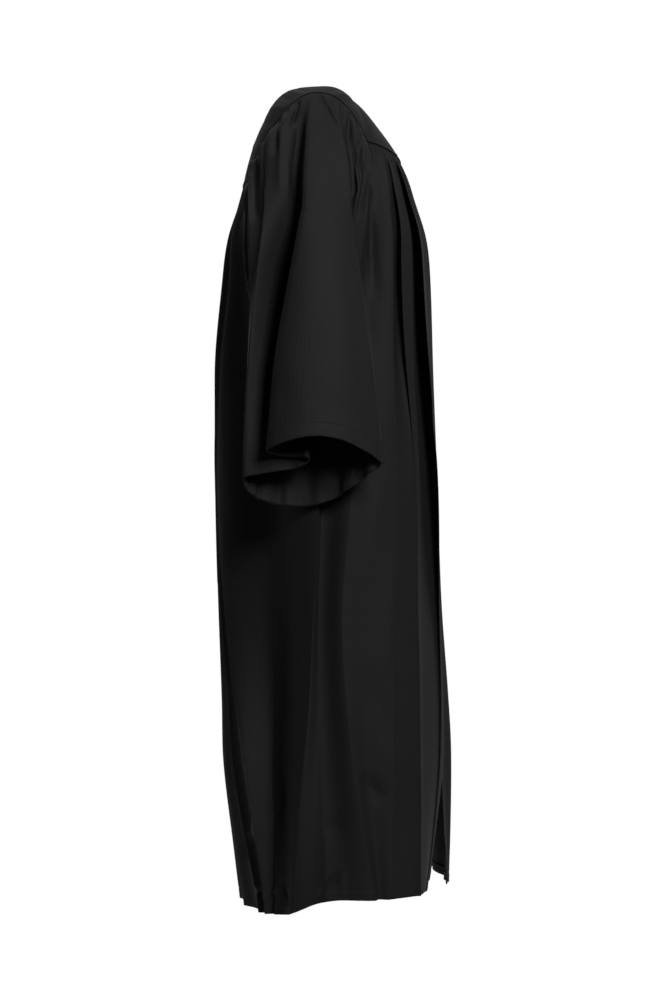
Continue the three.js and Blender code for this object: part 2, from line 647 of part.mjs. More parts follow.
function sleeve(name, side) {
  const first = SLEEVE_FOLDS[0];
  const rows = [...SLEEVE_FOLDS, { ...first, angle: first.angle.map((angle) => angle + 360) }];
  const stations = stationsAcross(rows).slice(0, -1);
  const grid = stations.map((q) => SLEEVE_STEPS.map((v) => {
    const point = sleevePoint(rows, q, v);
    point.x *= -side;
    return point;
  }));
  return mesh(name, clothWall(grid, { facing: side, closed: true, level: { top: 'x' } }), CLOTH);
}

// Zip tape: follows the inner faces of both centre-front edges, from just under the neck
// to the zip's end. Its columns lie on the fronts' own steps, so it never meets them.
function zipTape(rightRows, leftRows) {
  const lastLeft = leftRows.length - 1;
  const onFront = (rows, near, far, share, v) => {
    return panelPoint(rows, near, v).lerp(panelPoint(rows, far, v), share);
  };
  const columns = [
    { side: 1, rows: rightRows, near: EVEN[1], far: EVEN[2], share: 0.5 },
    { side: 1, rows: rightRows, near: EVEN[0], far: EVEN[1], share: 1 },
    { side: 1, rows: rightRows, near: EVEN[0], far: EVEN[1], share: 0 },
    { side: -1, rows: leftRows, near: lastLeft, far: lastLeft - EVEN[1], share: 0 },
    { side: -1, rows: leftRows, near: lastLeft, far: lastLeft - EVEN[1], share: 1 },
    { side: -1, rows: leftRows, near: lastLeft - EVEN[1], far: lastLeft - EVEN[2], share: 0.5 },
  ];
  const yokeSteps = YOKE_STEPS.slice(1, -1);
  const frontSteps = PANEL_STEPS.filter((v) => v <= ZIP_END);
  const grid = columns.map(({ side, rows, near, far, share }) => {
    const x = onFront(rows, near, far, share, 0).x;
    const onYoke = yokeSteps.map((s) => {
      const edge = yokePoint(YOKE_FRONT_ANGLES[0], s);
      const next = yokePoint(YOKE_FRONT_ANGLES[1], s);
      edge.x *= side;
      next.x *= side;
      return edge.clone().lerp(next, (x - edge.x) / (next.x - edge.x));
    });
    return [...onYoke, ...frontSteps.map((v) => onFront(rows, near, far, share, v))];
  });
  return mesh('zip_tape', clothWall(grid, { facing: -1, thick: TAPE_THICK, under: WALL + TAPE_GAP }), TAPE);
}

// Outline with round corners, centred on the origin in x and from y down to y - length
function roundedPlate(width, length, round, top) {
  const half = width / 2;
  const low = top - length;
  const shape = new THREE.Shape();
  shape.moveTo(-half + round, low);
  shape.lineTo(half - round, low);
  shape.absarc(half - round, low + round, round, -Math.PI / 2, 0, false);
  shape.lineTo(half, top - round);
  shape.absarc(half - round, top - round, round, 0, Math.PI / 2, false);
  shape.lineTo(-half + round, top);
  shape.absarc(-half + round, top - round, round, Math.PI / 2, Math.PI, false);
  shape.lineTo(-half, low + round);
  shape.absarc(-half + round, low + round, round, Math.PI, 1.5 * Math.PI, false);
  return shape;
}

// Zip slider at the top of the zip, its bail, and the pull tab that hangs from the bail.
// The group's y runs up the cloth at centre front and its z out of it.
function zipSlider() {
  const group = new THREE.Group();
  const centre = yokePoint(0, SLIDER.rise);
  const up = yokePoint(0, 0).sub(yokePoint(0, 2 * SLIDER.rise)).normalize();
  const across = new THREE.Vector3(1, 0, 0);
  const out = across.clone().cross(up);
  group.position.copy(centre).addScaledVector(out, SLIDER.gap);
  group.quaternion.setFromRotationMatrix(new THREE.Matrix4().makeBasis(across, up, out));

  const bodyDepth = SLIDER.thick - 2 * SLIDER.bevel;
  const outline = roundedPlate(SLIDER.width, SLIDER.length, SLIDER.round, SLIDER.length / 2);
  const body = new THREE.ExtrudeGeometry(outline, {
    depth: bodyDepth, curveSegments: 4, bevelSegments: 1,
    bevelThickness: SLIDER.bevel, bevelSize: SLIDER.bevel, bevelOffset: -SLIDER.bevel,
  });
  body.translate(0, 0, SLIDER.bevel);
  group.add(mesh('zip_slider', body, METAL));

  // The bail's outline stands in the plane across the cloth: x there is y up the cloth
  const arch = new THREE.Shape();
  arch.moveTo(BAIL.outer, 0);
  arch.lineTo(BAIL.outer, BAIL.leg);
  arch.absarc(0, BAIL.leg, BAIL.outer, 0, Math.PI, false);
  arch.lineTo(-BAIL.outer, 0);
  arch.lineTo(-BAIL.inner, 0);
  arch.lineTo(-BAIL.inner, BAIL.leg);
  arch.absarc(0, BAIL.leg, BAIL.inner, Math.PI, 0, true);
  arch.lineTo(BAIL.inner, 0);
  const bail = new THREE.ExtrudeGeometry(arch, { depth: BAIL.width, curveSegments: 8, bevelEnabled: false });
  bail.translate(0, 0, -BAIL.width / 2);
  bail.rotateX(Math.PI / 2);
  bail.rotateZ(Math.PI / 2);
  bail.translate(0, 0, SLIDER.thick + BAIL.gap);
  group.add(mesh('zip_bail', bail, METAL));

  // The pull's top bar runs through the bail, on the hinge axis
  const plate = roundedPlate(PULL.width, PULL.length, PULL.round, PULL.bar / 2);
  const eye = new THREE.Path();
  const eyeHalf = PULL.eyeWidth / 2;
  eye.moveTo(-eyeHalf, -PULL.bar / 2);
  eye.lineTo(-eyeHalf, -PULL.eyeLength);
  eye.lineTo(eyeHalf, -PULL.eyeLength);
  eye.lineTo(eyeHalf, -PULL.bar / 2);
  plate.holes.push(eye);
  const tab = new THREE.ExtrudeGeometry(plate, { depth: PULL.thick, curveSegments: 4, bevelEnabled: false });
  tab.translate(0, 0, -PULL.thick / 2);
  const pull = mesh('zip_pull', tab, METAL);
  pull.position.z = SLIDER.thick + BAIL.gap + BAIL.leg;
  pull.rotation.x = radians(PULL.tilt);
  group.add(pull);
  return group;
}

const mirrored = (angles) => angles.map((angle) => 360 - angle).reverse();
const halfSeam = SEAM / 2;
const frontRows = [...RIGHT_FRONT, RIGHT_SEAM];
const backRows = [...BACK, LEFT_SEAM];
const yokeBackAngles = [...YOKE_BACK_ANGLES, ...mirrored(YOKE_BACK_ANGLES).slice(1)];

// Clearance at side and shoulder seams, half on each piece, and how each piece's walls end there
const onlyLast = { first: 0, last: -halfSeam };
const onlyFirst = { first: -halfSeam, last: 0 };
const bothSides = { first: halfSeam, last: halfSeam };
const centreFirst = { first: 'x', last: 'y' };
const centreLast = { first: 'y', last: 'x' };
const sideSeams = { first: 'y', last: 'y' };

const gown = new THREE.Group();
gown.add(bodyPanel('front_right', frontRows, onlyLast, centreFirst));
gown.add(bodyPanel('front_left', LEFT_FRONT, onlyFirst, centreLast));
gown.add(bodyPanel('back', backRows, bothSides, sideSeams));
gown.add(yokePiece('yoke_front_right', YOKE_FRONT_ANGLES, onlyLast, centreFirst));
gown.add(yokePiece('yoke_front_left', mirrored(YOKE_FRONT_ANGLES), onlyFirst, centreLast));
gown.add(yokePiece('yoke_back', yokeBackAngles, bothSides, sideSeams));
gown.add(sleeve('sleeve_right', -1));
gown.add(sleeve('sleeve_left', 1));
gown.add(zipTape(frontRows, LEFT_FRONT));
gown.add(zipSlider());

export default gown;
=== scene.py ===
import math
import bpy
import numpy as np
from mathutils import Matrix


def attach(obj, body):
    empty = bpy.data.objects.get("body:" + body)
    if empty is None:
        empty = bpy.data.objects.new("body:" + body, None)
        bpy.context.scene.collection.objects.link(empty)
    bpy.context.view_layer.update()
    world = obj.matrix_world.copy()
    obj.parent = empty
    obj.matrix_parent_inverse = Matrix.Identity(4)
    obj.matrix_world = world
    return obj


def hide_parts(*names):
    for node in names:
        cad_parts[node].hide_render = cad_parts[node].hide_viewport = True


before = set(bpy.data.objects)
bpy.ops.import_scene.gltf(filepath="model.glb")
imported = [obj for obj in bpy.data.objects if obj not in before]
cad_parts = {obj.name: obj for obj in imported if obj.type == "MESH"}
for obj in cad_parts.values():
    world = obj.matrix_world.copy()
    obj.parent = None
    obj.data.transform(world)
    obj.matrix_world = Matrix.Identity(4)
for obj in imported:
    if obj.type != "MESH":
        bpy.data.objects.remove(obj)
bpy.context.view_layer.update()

# The yoke: three smooth pieces of the black cloth, joined at the shoulders, that carry the
# whole gown. Its neck is a V in front and round behind, its lower edges are the seams that
# the gathered cloth hangs from, and its shoulder edges are turned under over the sleeves.

# Lengths are in mm, angles in degrees round the gown from centre front to the wearer's right,
# and heights are measured from where the shoulders carry the yoke.
MM = 0.001
CLOTH_THICK = 0.9
FRONT_CORNER = 57.5    # angle of the yoke's front corner, where seam and armhole meet
BACK_CORNER = 141.5    # angle of its back corner
SIDE = 90.0            # angle of the shoulder tip and the underarm
FRONT_CENTRE_Z, FRONT_CORNER_Z = -98.0, -85.0      # heights of the seam in front
BACK_CORNER_Z, BACK_CENTRE_Z = -140.0, -143.0      # and behind
SEAM_RISE = 1.5        # how late the front seam rises from the centre to the corner
UNDERARM_Z = -232.0
ARMHOLE_ROUND = 1.4    # how round the armhole is at its lower end
NECK_HALF, NECK_FRONT, NECK_BACK = 78.0, 106.0, 66.0      # reach sideways, forwards, backwards
NECK_TOP, NECK_FRONT_DROP, NECK_BACK_DROP = 13.0, 75.0, 21.0
NECK_WIDEN, NECK_FALL = 1.6, 2.2      # how fast the V widens and falls
NECK_ROUND = 2.4       # how round the neck is behind
SHOULDER_TIP = (-195.0, -1.0, -13.0)
# Curve of the shoulder edge from its tip to each corner: powers across, along and down
SHOULDER_CURVES = ((FRONT_CORNER, (2, 1, 2.4)), (BACK_CORNER, (2.2, 1, 2.05)))
ZIP_GROOVE, GROOVE_ANGLE = 2.0, 10.0      # depth and half width where the zip draws the neck in
YOKE_PROUD = 0.7       # how far the yoke's turned edge lies over the cloth sewn under it
TUCK = 2.5             # how far that cloth runs on into the edge
EDGE_ROLL = 2.5        # how far in a turned edge is thicker, and how much at edge and neck
EDGE_HIGH, NECK_HIGH = 0.7, 0.5
YOKE_STITCH = 6.0      # line of stitches from the yoke's edges
STITCH_WIDE = 1.2      # the groove that a line of stitches pulls in: half width and depth
STITCH_DEEP, NECK_STITCH_DEEP = 0.5, 0.4

# How far the yoke stands out between neck and edge, in mm, and how much more at its front and
# back corners: angle, width in degrees, height. It is lifted outwards and up.
YOKE_BULGE = 3
YOKE_SWELLS = [(61, 21, 16), (130, 25, 18)]
LIFT_ROUND, LIFT_UP = 150, 0.75

# Worn form of the body: height, half width, reach to the front and to the back, and how
# square the plan is before and behind
BODY = np.array([
    (-30, 186, 92, 88, 2.3, 3.6), (-70, 194, 118, 99, 2.3, 4.0),
    (-120, 199, 144, 110, 2.3, 4.0), (-160, 202, 157, 122, 2.3, 3.9),
    (-220, 206, 175, 141, 2.3, 3.3), (-280, 210, 181, 150, 2.3, 2.8),
    (-440, 222, 186, 163, 2.3, 2.5), (-630, 238, 194, 162, 2.3, 2.4),
    (-790, 252, 200, 158, 2.3, 2.4), (-950, 268, 210, 152, 2.3, 2.4),
    (-1050, 278, 214, 149, 2.3, 2.4), (-1180, 290, 211, 133, 2.3, 2.4),
    (-1275, 297, 206, 121, 2.3, 2.4)], dtype=float)

# Drag lines on the yoke, pulled from the neck towards the shoulder tips: start and end as
# (angle from centre front, share of the way from neck to edge), width and depth in mm
YOKE_SCALE = (2.2, 100.0)       # mm to a degree round, and from neck to edge
DRAG_SHIFT = 0.06      # how many degrees off the mirrored place the left side's lines lie
YOKE_DRAGS = [
    ((112, 0.16), (96, 0.93), 4.0, -2.2), ((118, 0.28), (100, 0.97), 3.4, 1.9),
    ((126, 0.30), (106, 0.98), 4.0, -2.6), ((133, 0.42), (112, 0.99), 3.6, 2.1),
    ((141, 0.45), (121, 0.97), 4.0, -2.2), ((149, 0.60), (131, 0.98), 3.4, 1.6),
    ((68, 0.35), (84, 0.96), 4.6, -1.8), ((62, 0.42), (79, 0.97), 3.6, 1.6),
    ((58, 0.50), (74, 0.98), 4.0, -1.5), ((47, 0.62), (60, 0.97), 5.0, 1.2),
    ((30, 0.55), (52, 0.90), 7.0, -1.0),
]


def curve(stations, values, x):
    """Smooth curve through values at uneven stations, level at each turning value."""
    s = np.asarray(stations, float)
    v = np.asarray(values, float)
    sign = 1.0 if s[-1] > s[0] else -1.0
    s = s * sign
    t = np.clip(np.asarray(x, float) * sign, s[0], s[-1])
    i = np.clip(np.searchsorted(s, t, side="right") - 1, 0, len(s) - 2)
    slope = np.empty(len(s))
    slope[1:-1] = (v[2:] - v[:-2]) / (s[2:] - s[:-2])
    slope[1:-1][(v[1:-1] - v[:-2]) * (v[2:] - v[1:-1]) <= 0] = 0
    slope[0] = (v[1] - v[0]) / (s[1] - s[0])
    slope[-1] = (v[-1] - v[-2]) / (s[-1] - s[-2])
    span = s[i + 1] - s[i]
    return hermite(v[i], v[i + 1], slope[i] * span, slope[i + 1] * span, (t - s[i]) / span)


def hermite(v1, v2, m1, m2, t):
    """From v1 to v2 as t runs from 0 to 1, with slopes m1 and m2 at the ends."""
    t2, t3 = t * t, t * t * t
    return (2 * t3 - 3 * t2 + 1) * v1 + (t3 - 2 * t2 + t) * m1 + (3 * t2 - 2 * t3) * v2 + (t3 - t2) * m2


def unit(vectors):
    """The same directions at length 1."""
    return vectors / np.maximum(np.linalg.norm(vectors, axis=-1, keepdims=True), 1e-9)


def body_form(angle, z):
    """Point of the worn form, in mm, at an angle from centre front and a height."""
    angle, z = np.broadcast_arrays(np.asarray(angle, float), np.asarray(z, float))
    half, front, back, square_front, square_back = (
        curve(BODY[:, 0], BODY[:, i], z) for i in range(1, 6))
    turn = np.radians(angle)
    power = square_front + (square_back - square_front) * (1 - np.cos(turn)) / 2
    reach = (np.abs(np.cos(turn)) ** power + np.abs(np.sin(turn)) ** power) ** (-1 / power)
    y = (back - front) / 2 - (front + back) / 2 * reach * np.cos(turn)
    return np.stack([-half * reach * np.sin(turn), y, z], -1)


def body_round(angle, z):
    """Step along the worn form for one degree."""
    return body_form(angle + 0.5, z) - body_form(angle - 0.5, z)


def body_out(angle, z):
    """Level direction straight out of the worn form."""
    along = body_round(angle, z)
    return unit(np.stack([along[..., 1], -along[..., 0], 0 * along[..., 0]], -1)) * -1


def armhole_depth(share):
    """Share of the armhole's depth reached at a share of its width, from a corner."""
    return (1 - (1 - np.clip(share, 0, 1)) ** ARMHOLE_ROUND) ** (1 / ARMHOLE_ROUND)


def folded_angle(angle):
    """Angle from centre front on either side, 0 to 180."""
    turn = np.asarray(angle, float) % 360
    return np.where(turn > 180, 360 - turn, turn)


def top_z(angle):
    """Height of the seam that the body cloth hangs from, or of the armhole's edge."""
    a = folded_angle(angle)
    seam_front = FRONT_CENTRE_Z + (FRONT_CORNER_Z - FRONT_CENTRE_Z) * (a / FRONT_CORNER) ** SEAM_RISE
    to_side = armhole_depth((a - FRONT_CORNER) / (SIDE - FRONT_CORNER))
    from_side = armhole_depth((BACK_CORNER - a) / (BACK_CORNER - SIDE))
    to_centre = np.clip((a - BACK_CORNER) / (180 - BACK_CORNER), 0, 1)
    hole_front = FRONT_CORNER_Z + (UNDERARM_Z - FRONT_CORNER_Z) * to_side
    hole_back = BACK_CORNER_Z + (UNDERARM_Z - BACK_CORNER_Z) * from_side
    seam_back = BACK_CORNER_Z + (BACK_CENTRE_Z - BACK_CORNER_Z) * to_centre
    return np.select([a <= FRONT_CORNER, a <= SIDE, a <= BACK_CORNER],
                     [seam_front, hole_front, hole_back], seam_back)


def neck_edge(angle):
    """Upper edge of the yoke: a V in front, round behind."""
    a = folded_angle(angle)
    side = np.where(np.asarray(angle, float) % 360 > 180, 1.0, -1.0)
    u = np.clip(a / SIDE, 0, 1)
    front = np.stack([NECK_HALF * (1 - (1 - u) ** NECK_WIDEN), -NECK_FRONT * (1 - u),
                      NECK_TOP - NECK_FRONT_DROP * (1 - u) ** NECK_FALL], -1)
    turn = np.radians(np.clip(a - SIDE, 0, 90))
    y = NECK_BACK * np.sin(turn) ** (2 / NECK_ROUND)
    back = np.stack([NECK_HALF * np.abs(np.cos(turn)) ** (2 / NECK_ROUND), y,
                     NECK_TOP - NECK_BACK_DROP * (y / NECK_BACK) ** 3], -1)
    point = np.where((a <= SIDE)[..., None], front, back)
    point[..., 0] *= side
    return point


def yoke_edge(angle):
    """Lower and outer edge of the yoke: seam, shoulder edge over the sleeve, seam."""
    a = folded_angle(angle)
    side = np.where(np.asarray(angle, float) % 360 > 180, -1.0, 1.0)
    point = body_form(a, top_z(a))
    tip = np.array(SHOULDER_TIP)
    for corner, powers in SHOULDER_CURVES:
        target = body_form(corner, top_z(corner))
        t = np.clip((a - SIDE) / (corner - SIDE), 0, 1)[..., None]
        shoulder = tip + (target - tip) * t ** np.array(powers, float)
        over = (a > FRONT_CORNER) & (a <= SIDE) if corner < SIDE else (a > SIDE) & (a < BACK_CORNER)
        point = np.where(over[..., None], shoulder, point)
    point[..., 0] *= side
    return point


def pressed(marks, u, v, scale=(1.0, 1.0)):
    """Height in mm of soft ridges and troughs. A mark runs from one (u, v) to another, is so
    wide and so high, fades at its ends and may bow sideways; scale turns u and v to mm."""
    height = np.zeros(np.broadcast(u, v).shape)
    for start, end, wide, high, *bow in marks:
        across = (np.array(end, float) - np.array(start, float)) * scale
        length = math.hypot(*across)
        along = across / length
        du, dv = (u - start[0]) * scale[0], (v - start[1]) * scale[1]
        s = (du * along[0] + dv * along[1]) / length
        off = -du * along[1] + dv * along[0]
        off = off - (bow[0] if bow else 0.0) * (1 - (2 * s - 1) ** 2)
        fade = np.clip(1 - (2 * np.clip(s, 0, 1) - 1) ** 2, 0, 1) ** 0.8
        height += high * fade * np.exp(-((off / wide) ** 2))
    return height


def stitched(distance, line, deep=STITCH_DEEP, wide=STITCH_WIDE):
    """Groove that a line of stitches pulls in, at a distance from the edge."""
    return -deep * np.exp(-((distance - line) / wide) ** 2)


def yoke_point(a, s, under=0.0):
    """Point of the yoke's outer face, or so far under it, at share s from neck to edge."""
    a, s = np.broadcast_arrays(np.asarray(a, float), np.asarray(s, float))
    folded = folded_angle(a)
    neck, edge = neck_edge(a), yoke_edge(a)
    middle = (neck + edge) / 2
    lift = unit(np.stack([middle[..., 0] / LIFT_ROUND, middle[..., 1] / LIFT_ROUND, 0 * s + LIFT_UP], -1))
    bulge = YOKE_BULGE + sum(high * np.exp(-((folded - at) / wide) ** 2) for at, wide, high in YOKE_SWELLS)
    groove = ZIP_GROOVE * (1 - s) * np.clip(1 - folded / GROOVE_ANGLE, 0, 1)
    width = np.linalg.norm(edge - neck, axis=-1)
    from_edge, from_neck = (1 - s) * width, s * width
    rolled = EDGE_HIGH * np.exp(-(from_edge / EDGE_ROLL) ** 2)
    rolled += NECK_HIGH * np.exp(-(from_neck / EDGE_ROLL) ** 2)
    stitch = stitched(from_edge, YOKE_STITCH) + stitched(from_neck, YOKE_STITCH, NECK_STITCH_DEEP)
    marks = pressed(YOKE_DRAGS, folded + DRAG_SHIFT * (a - folded) / 360, s, scale=YOKE_SCALE)
    out = bulge * 4 * s * (1 - s) - groove + YOKE_PROUD + rolled + stitch + marks - under
    return neck + (edge - neck) * s[..., None] + lift * out[..., None]


def yoke_tuck(a):
    """Where an edge sewn to the yoke ends, within the turned edge."""
    width = np.linalg.norm(yoke_edge(a) - neck_edge(a), axis=-1)
    return yoke_point(a, 1 - TUCK / width, CLOTH_THICK / 2)


def cloth_piece(name, points, facing=1, closed=False, thick=CLOTH_THICK):
    """A sheet of cloth through points[across][down], in mm. Across by down points out of its
    face when facing is 1. A closed one is sewn into a tube. Its UVs are metres of cloth."""
    if facing < 0:
        points = points[::-1]
    if closed:
        points = np.concatenate([points, points[:1]])
    across, down = points.shape[:2]
    bpy.ops.object.select_all(action="DESELECT")
    bpy.ops.mesh.primitive_grid_add(x_subdivisions=across - 1, y_subdivisions=down - 1, size=1)
    piece = bpy.context.object
    piece.name = piece.data.name = name
    mesh = piece.data
    mesh.vertices.foreach_set("co", (points.transpose(1, 0, 2) * MM).ravel())
    steps = np.linalg.norm(np.diff(points, axis=0), axis=-1).mean(axis=1)
    drops = np.linalg.norm(np.diff(points, axis=1), axis=-1).mean(axis=0)
    u = np.concatenate([[0], np.cumsum(steps)]) * MM
    v = np.concatenate([[0], np.cumsum(drops)]) * MM
    corner = np.empty(len(mesh.loops), dtype=np.int32)
    mesh.loops.foreach_get("vertex_index", corner)
    uv = np.stack([u[corner % across], v[corner // across]], -1)
    mesh.uv_layers.active.data.foreach_set("uv", uv.ravel())
    mesh.update()
    if closed:
        bpy.ops.object.mode_set(mode="EDIT")
        bpy.ops.mesh.select_all(action="SELECT")
        bpy.ops.mesh.remove_doubles(threshold=0.01 * MM)
        bpy.ops.object.mode_set(mode="OBJECT")
    wall = piece.modifiers.new("wall", "SOLIDIFY")
    wall.thickness = thick * MM
    wall.offset = -1.0
    wall.use_quality_normals = True
    bpy.ops.object.modifier_apply(modifier=wall.name)
    bpy.ops.object.shade_smooth()
    bpy.ops.object.transform_apply(location=True, rotation=True, scale=True)
    return piece


def linear(colour):
    """sRGB hex to the linear colour that a shader takes."""
    parts = [int(colour[i:i + 2], 16) / 255 for i in (1, 3, 5)]
    return [c / 12.92 if c <= 0.04045 else ((c + 0.055) / 1.055) ** 2.4 for c in parts] + [1.0]


def node(tree, kind, settings=None, links=None):
    """Adds a shader node, sets its properties and values, and links its inputs."""
    made = tree.nodes.new(kind)
    for key, value in (settings or {}).items():
        if isinstance(key, str) and hasattr(made, key):
            setattr(made, key, value)
        else:
            made.inputs[key].default_value = value
    for key, source in (links or {}).items():
        tree.links.new(source, made.inputs[key])
    return made


# Polyester gown cloth, plain woven and matt black with a soft bloom on its folds. The
# threads, 0.3 mm apart, are too fine to show, so the weave is drawn at 2.4 mm.
CLOTH_COLOUR = "#0e0e10"
CLOTH_WORN = "#151517"
THREAD = 2.4 * MM
THREAD_RELIEF = 0.2 * MM
DYE_PATCHES = 9.0      # faint patches of lighter dye to a metre
CLOTH_ROUGHNESS = 0.78


def gown_cloth(name="polyester gown cloth", dark=CLOTH_COLOUR, light=CLOTH_WORN):
    material = bpy.data.materials.new(name)
    material.use_nodes = True
    tree = material.node_tree
    shader = tree.nodes["Principled BSDF"]
    place = node(tree, "ShaderNodeTexCoord")
    warp, weft = (
        node(tree, "ShaderNodeTexWave", {
            "wave_type": "BANDS", "bands_direction": direction,
            "Scale": 0.5 / THREAD * math.pi / 10, "Distortion": 0.6, "Detail": 2.0, "Detail Scale": 1.5,
        }, {"Vector": place.outputs["UV"]}).outputs["Fac"] for direction in ("X", "Y"))
    weave = node(tree, "ShaderNodeMath", {"operation": "MULTIPLY"}, {0: warp, 1: weft})
    fibre = node(tree, "ShaderNodeTexNoise", {"Scale": 1 / THREAD, "Detail": 3.0, "Roughness": 0.6},
                 {"Vector": place.outputs["UV"]})
    dye = node(tree, "ShaderNodeTexNoise", {"Scale": DYE_PATCHES, "Detail": 4.0, "Roughness": 0.55},
               {"Vector": place.outputs["Object"]})
    mixed = node(tree, "ShaderNodeMath", {"operation": "MULTIPLY_ADD", 1: 0.5},
                 {0: fibre.outputs["Fac"], 2: dye.outputs["Fac"]})
    ramp = node(tree, "ShaderNodeValToRGB", None, {"Fac": mixed.outputs[0]})
    for stop, at, colour in zip(ramp.color_ramp.elements, (0.45, 1.0), (dark, light)):
        stop.position = at
        stop.color = linear(colour)
    relief = node(tree, "ShaderNodeMath", {"operation": "ADD"},
                  {0: weave.outputs[0], 1: fibre.outputs["Fac"]})
    bump = node(tree, "ShaderNodeBump", {"Strength": 0.9, "Distance": THREAD_RELIEF},
                {"Height": relief.outputs[0]})
    tree.links.new(ramp.outputs["Color"], shader.inputs["Base Color"])
    tree.links.new(bump.outputs["Normal"], shader.inputs["Normal"])
    shader.inputs["Roughness"].default_value = CLOTH_ROUGHNESS
    return material


cloth = gown_cloth()

# Shares from neck to edge at which points lie, closest at the turned edges. Then each piece: the
# angles of its points, flat size in m, area in m2, what it is sewn to.
YOKE_DOWN = np.concatenate([[0, 0.02, 0.045], np.linspace(0.07, 0.93, 44), [0.955, 0.98, 1.0]])
YOKE_PIECES = [
    ("yoke_front_right", np.linspace(0.05, SIDE, 110), (0.20, 0.17), 0.026, ["yoke_back"]),
    ("yoke_front_left", np.linspace(270, 359.95, 110), (0.20, 0.17), 0.026, ["yoke_back"]),
    ("yoke_back", np.linspace(SIDE, 270, 200), (0.41, 0.20), 0.066, ["yoke_front_right", "yoke_front_left"]),
]
for stands_for, angles, flat, area, joined in YOKE_PIECES:
    piece = cloth_piece(stands_for + "_cloth", yoke_point(angles[:, None], YOKE_DOWN[None, :]))
    piece.data.materials.append(cloth)
    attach(piece, "gown")
    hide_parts(stands_for)

# The body cloth: two fronts and a back of the same polyester, gathered into the yoke's seam
# and set to the sleeves below it, joined at the side seams and turned up at the hem. The
# fronts meet edge to edge down the centre as far as the zip's end and part below it.
HEM_TURN = 15.0        # height of the turned-up hem
TURN_THICK = 0.6       # its second layer of cloth, and how far inside the first it lies
TURN_GAP = 0.2
ZIP_STITCH = 6.0       # line of stitches from the centre edge, holding the zip tape
SEAM_EASE = 34.0       # height below a seam over which the folds open
SEAM_SHARE = 0.12      # share of a fold's depth that is left at the seam
CREST_FREE = 6.0       # height below a seam over which a crest leaves its place in the seam
SEAM_FLAT = 4.0        # height in which a seam holds the cloth flat, and how far it pulls it in
SEAM_PULL, ARMHOLE_PULL = 0.9, 0.3
HEM_STITCH_DEEP, HEM_STITCH_WIDE = 0.55, 1.4
HEM_PROUD = 0.25       # how far the double cloth of the hem stands out
HEM_RIPPLE = 0.75      # unevenness of the hem, and the height in which it fades
RIPPLE_HIGH = 22.0
FOLD_LEVELS = [-280, -600, -850, -1050, -1265]

# The hem's height round the gown: angle from centre front, height
HEM = [(0, -1236), (20, -1239), (45, -1230), (90, -1228), (105, -1234), (122, -1254), (150, -1259),
       (180, -1262), (210, -1258), (245, -1247), (270, -1232), (315, -1236), (352, -1250), (360, -1249)]

# Folds, one crest a row, each value at the seam and at FOLD_LEVELS: the crest's angle, how
# far it stands off the worn form, the depth of the valley after it. Then the valley's shape:
# how crisp its crests are, where its bottom lies across it, and 1 where it is pushed straight
# sideways into the gown, as the deep pleats beside the centre are, not square to the form.
RIGHT_FRONT = [
    ([0.05, 0.1, 0.1, 0.1, 0.1, 5], [-1, -4, -2, -7, -14, -30], [2, 3, 2, 2, 2, 2], 1.6, 0.5, 0),
    ([11, 8, 6, 7, 9, 13], [0, 0, -1, -6, -13, -34], [4, 5, 3, 2, 2, 3], 1.6, 0.5, 0),
    ([21, 15.5, 12, 13, 17, 24], [0, 0, 0, -5, -13, -29], [4, 4, 3, 3, 3, 3], 1.5, 0.5, 0),
    ([31, 31, 21, 22, 27, 33], [0, 3, 5, -2, -9, -22], [12, 70, 78, 36, 20, 14], 0.38, 0.56, 1),
    ([38.5, 42, 42.4, 46.4, 49.2, 49.2], [0, 3, 4, 4, 3, 2], [1, 1, 1, 1, 1, 1], 1.5, 0.5, 0),
    ([43.5, 49.5, 44.2, 47.3, 50.2, 50.2], [0, 2, 3, 3, 2, 1], [3, 28, 4, 4, 4, 5], 0.4, 0.5, 1),
    ([50, 55, 54, 60, 63.5, 67], [0, 3, 0, 0, 2, 2], [9, 12, 5, 6, 11, 10], 1.2, 0.6, 0),
    ([57.5, 73, 77.5, 85, 82, 72], [0, 0, 5, 5, 5, 2], [1, 6, 3, 3, 5, 5], 1.1, 0.6, 0),
]
RIGHT_SEAM = ([90, 90, 92.2, 96.5, 98, 98], [0, -1, -14, -9, -6, -4], [1, 2, 1, 2, 4, 6], 1.3, 0.5, 0)
